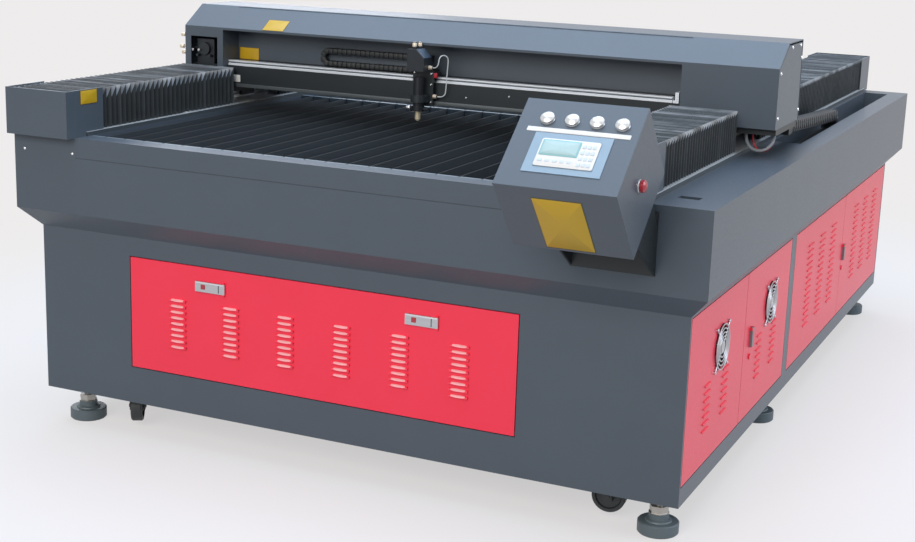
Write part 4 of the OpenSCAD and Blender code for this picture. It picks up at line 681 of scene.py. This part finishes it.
piece("tray_screws", [screw_head(tray_front, x, 913, 4.5, 2.5) for x in (-1086.5, -902)], CHROME, "machine")
piece("beam_screws", [screw_head(beam_front, x, z, 3.2, 2) for x, z in ((6, 1067), (162, 1083))],
      SATIN, "bridge")
piece("end_plate_screws", [screw_head(end_plate, y, z, 6, 3) for y, z in
                           ((993, 1298), (1106, 1298), (1132, 1257), (859, 1227), (1140, 1089), (862, 1089))],
      CHROME, "bridge")


# Fan guards: satin wire rings on four legs, with a cap and four screws

GUARD_RINGS, GUARD_WIRE = (32, 44, 56, 68), 2.3
SCREW_REACH = 88.04
HUB_CAP = [(20.6, 1.6), (20.6, 5), (17, 7), (8, 7.8), (3, 7.8), (2, 6.5)]
SCREW_CAP = [(5.6, 0), (5.6, 5), (4, 7), (2, 7.2), (1.6, 6)]
for letter, fan_y in (("a", 338.25), ("b", 926)):
    fan = axes((1070, fan_y, 495), (0, 1, 0), (0, 0, 1))
    wires = [torus(fan, r - 1.5, GUARD_WIRE, 5.5) for r in GUARD_RINGS]
    caps = [turned(fan, HUB_CAP)]
    for a in np.radians([45, 135, 225, 315]):
        leg = np.array([np.cos(a), np.sin(a), 0])
        leg_path = put(np.outer(np.linspace(14, 90, 6), leg) + [0, 0, 3.4], fan)
        wires.append(tube(leg_path, 2.5, 10, (0.9, 0.1, 0.3)))
        caps.append(turned((fan[0], fan[1] + SCREW_REACH * leg @ fan[0]), SCREW_CAP, 16))
    piece(f"fan_{letter}_guard_wires", wires, SATIN, f"side_door_{letter}", sharp=60)
    piece(f"fan_{letter}_guard_caps", caps, SATIN, f"side_door_{letter}")


# Latches: a chrome strip on the upper edge as a painted highlight, a small red push button at the left third
# and a dark line near the right end

for side, latch_x in (("left", -435), ("right", 283)):
    face = axes((latch_x, -8.3, 538), (1, 0, 0), (0, 0, 1))
    piece(f"latch_{side}_button", [slab(face, -24, 0, 15, 15, 1.5, 2)], STOP, f"front_latch_{side}")
    piece(f"latch_{side}_edge", [slab(face, 0, 13.2, 100, 4, 0.6, 1, 0.3)], CHROME, f"front_latch_{side}")
    piece(f"latch_{side}_line", [slab(face, 32, 0, 2.5, 26, 0.5, 0.8, 0.2)], BLACK, f"front_latch_{side}")


# Front louvres: a pale coat over each pressed hood, painted as the highlight the hood catches from above

def painted_highlight_crest(cx, z, half=27, r=7.5, lift=0.4, sink=0.3):
    """Thin shell of painted highlight over a quarter-round hood: from 8 to 82 degrees at mid length,
    narrowing to both ends as a half ellipse does."""
    s = np.linspace(-1, 1, 13)[1:-1, None]
    reach = np.radians(37) * np.sqrt(1 - s ** 2)
    a = np.radians(45) + reach * np.linspace(-1, 1, 7)
    a = np.hstack([a, a[:, ::-1]])
    rad = np.repeat([r + lift, r - sink], 7)
    across = np.broadcast_to(cx + half * s, a.shape)
    return shut(np.stack([across, -rad * np.cos(a), z + rad * np.sin(a)], -1))


# The louvre columns' middle and pitch, and the foot and height of their rows
LOUVRE_MID, LOUVRE_APART, LOUVRE_FOOT, LOUVRE_HIGH = -76, 192, 319, 169
LOUVRE_X = LOUVRE_MID + LOUVRE_APART * (np.arange(6) - 2.5)
LOUVRE_Z = LOUVRE_FOOT + LOUVRE_HIGH / 9 * (np.arange(9) + 0.4)
piece("front_louvre_painted_highlights", [painted_highlight_crest(x, z) for x in LOUVRE_X for z in LOUVRE_Z], LOUVRE_HIGHLIGHT, "front_door")


# Mirror knobs: cream turned ones at the left box's side and satin ones in its window

KNURL = [(3, 0), (3, 22), (6.6, 22), (7.2, 23), (7.2, 36), (6.6, 37), (4, 38), (2, 37.5)]
knobs = [turned(axes((-1100, y, z), (0, -1, 0), (0, 0, 1)), KNURL, 24)
         for y, z in ((872, 1206), (864, 1164), (876, 1142))]
piece("side_mirror_knobs", knobs, CREAM, "bridge")
WINDOW_KNOB = [(3, -1), (4.6, -1), (4.6, 4.5), (3, 5)]
window_knobs = [turned(axes((x, 848, 1157), (1, 0, 0), (0, 0, 1)), WINDOW_KNOB, 20)
                for x in (-1072, -1046)]
piece("window_mirror_knobs", window_knobs, SATIN, "bridge")


# Head: mirror plate, knob caps, clamp bolts, hose fittings, wire connector and the focus clamp's thumb-screw

FALL = np.array([1, 0, -1]) / np.sqrt(2)
mirror_face = axes((-143, 780, 1224), FALL, (0, 1, 0))
piece("mirror_plate", [slab(mirror_face, 21.2, 31, 40, 58, 3.0, 2)], ANODISED, "head")
CAP = [(7.4, -14), (7.6, -4), (6.6, -1), (3, 0.6), (1, 0.6)]
knob_tops = [turned(axes((x, y, 1246), (1, 0, 0), (0, 1, 0)), CAP, 20) for x, y in ((-158, 800), (-152, 828))]
piece("head_knob_caps", knob_tops, CREAM, "head")
FITTING = [(7.5, 0), (7.5, 5), (6.4, 6), (6.4, 12.5), (5, 14)]
fittings = [turned(axes(at, (0, 1, 0), (0, 0, 1)), FITTING, 20)
            for at in ((-112.5, 822, 1163), (-106, 847, 1065))]
piece("hose_fittings", fittings, CREAM, "head")
connector_face = axes((-106, 850, 1135), (0, 1, 0), (0, 0, 1))
piece("wire_connector", [slab(connector_face, 0, 0, 12, 17, 11, 3)], SHEATH_RED, "head")
THUMB = [(4, 0), (9.4, 0.5), (9.8, 2), (9.8, 12), (9, 14), (4, 14.6), (2, 14)]
piece("focus_thumb_screw", [turned(axes((-171, 808, 1025), (0, -1, 0), (0, 0, 1)), THUMB, 24)], SATIN, "lens")
clamp = axes((-144, 842, 0), (1, 0, 0), (0, 0, 1))
bolts = [screw_head(clamp, x, z, 4, 3.5) for x in (-31, 31) for z in (1045, 1105, 1141)]
piece("head_bolts", bolts, CHROME, "head")


# Floor, light and background

floor_mesh = bpy.data.meshes.new("studio_floor")
floor_mesh.from_pydata([(-40, -40, 0), (40, -40, 0), (40, 60, 0), (-40, 60, 0)], [], [(0, 1, 2, 3)])
floor = bpy.data.objects.new("studio_floor", floor_mesh)
scene.collection.objects.link(floor)
paper = bpy.data.materials.new("pale_studio_paper")
paper.use_nodes = True
floor_mesh.materials.append(paper)


def seen_rays(tree):
    """1 for rays that show the background: from the camera, in a mirror or through glass."""
    rays = add(tree, "LightPath").outputs
    seen = add(tree, "Math", {0: rays["Is Camera Ray"], 1: rays["Is Glossy Ray"]}, operation="MAXIMUM")
    through = {0: seen.outputs[0], 1: rays["Is Transmission Ray"]}
    return add(tree, "Math", through, operation="MAXIMUM").outputs[0]


# Seen near the machine, the floor is part lit, which keeps the shadow, and part glow; farther off it is all
# glow. NEAR is the half size of the near part, in metres, and the fade ends at FADE_END times that.
BACKDROP = "#eeecec"
NEAR, FADE_END = (1.5, 2.2), 2.2
tree = paper.node_tree
tree.nodes.clear()
bounce = add(tree, "BsdfDiffuse", {"Color": srgb("#989797")})
lit = add(tree, "BsdfDiffuse", {"Color": srgb("#8f8e8e")})
glow = add(tree, "Emission", {"Color": srgb(BACKDROP), "Strength": 0.66})
near = add(tree, "AddShader", {0: lit.outputs[0], 1: glow.outputs[0]})
far = add(tree, "Emission", {"Color": srgb(BACKDROP), "Strength": 1.0})
here = add(tree, "TexCoord").outputs["Object"]
spot = add(tree, "VectorMath", {0: here, 1: (1 / NEAR[0], 1 / NEAR[1], 0)}, operation="MULTIPLY")
reach = add(tree, "VectorMath", {0: spot.outputs[0]}, operation="LENGTH")
fade = add(tree, "MapRange", {"Value": reach.outputs["Value"], "From Min": 1.0, "From Max": FADE_END},
           interpolation_type="SMOOTHSTEP")
paled = add(tree, "MixShader", {0: fade.outputs["Result"], 1: near.outputs[0], 2: far.outputs[0]})
whole = add(tree, "MixShader", {0: seen_rays(tree), 1: bounce.outputs[0], 2: paled.outputs[0]})
add(tree, "OutputMaterial", {"Surface": whole.outputs[0]})

world = bpy.data.worlds.new("studio")
scene.world = world
world.use_nodes = True
world.node_tree.nodes.clear()
tree = world.node_tree
soft = add(tree, "Background", {"Color": srgb("#dfe6f0"), "Strength": 0.5})
pale = add(tree, "Background", {"Color": srgb(BACKDROP), "Strength": 1.0})
mixed = add(tree, "MixShader", {0: seen_rays(tree), 1: soft.outputs[0], 2: pale.outputs[0]})
add(tree, "OutputWorld", {"Surface": mixed.outputs[0]})


def soft_box(name, at, aim, size, watts, colour):
    """Large soft area lamp at a place, turned to a point."""
    lamp = bpy.data.lights.new(name, "AREA")
    lamp.shape, lamp.size, lamp.size_y = "RECTANGLE", size[0], size[1]
    lamp.energy, lamp.color = watts, srgb(colour)[:3]
    obj = bpy.data.objects.new(name, lamp)
    back = np.array(at, float) - np.array(aim, float)
    back /= np.linalg.norm(back)
    side = np.cross((0, 0, 1), back)
    side /= np.linalg.norm(side)
    m4 = np.eye(4)
    m4[:3, :3] = np.column_stack([side, np.cross(back, side), back])
    m4[:3, 3] = at
    obj.matrix_world = Matrix(m4.tolist())
    scene.collection.objects.link(obj)


soft_box("right_window", (8.5, 0.8, 4.2), (0.6, 0.2, 0.5), (6, 4), 350, "#e3ecfb")
soft_box("sky_panel", (-0.5, 0.6, 7.5), (0, 0, 0.8), (8, 8), 690, "#c6ddf8")
soft_box("front_fill", (0.5, -9.0, 4.8), (0, -1, 0.6), (6, 4), 530, "#fff7f0")
soft_box("back_fill", (-7.0, 7.5, 4.5), (-0.4, 0.6, 0.6), (6, 4), 260, "#e8effa")

scene.view_settings.view_transform = "Standard"
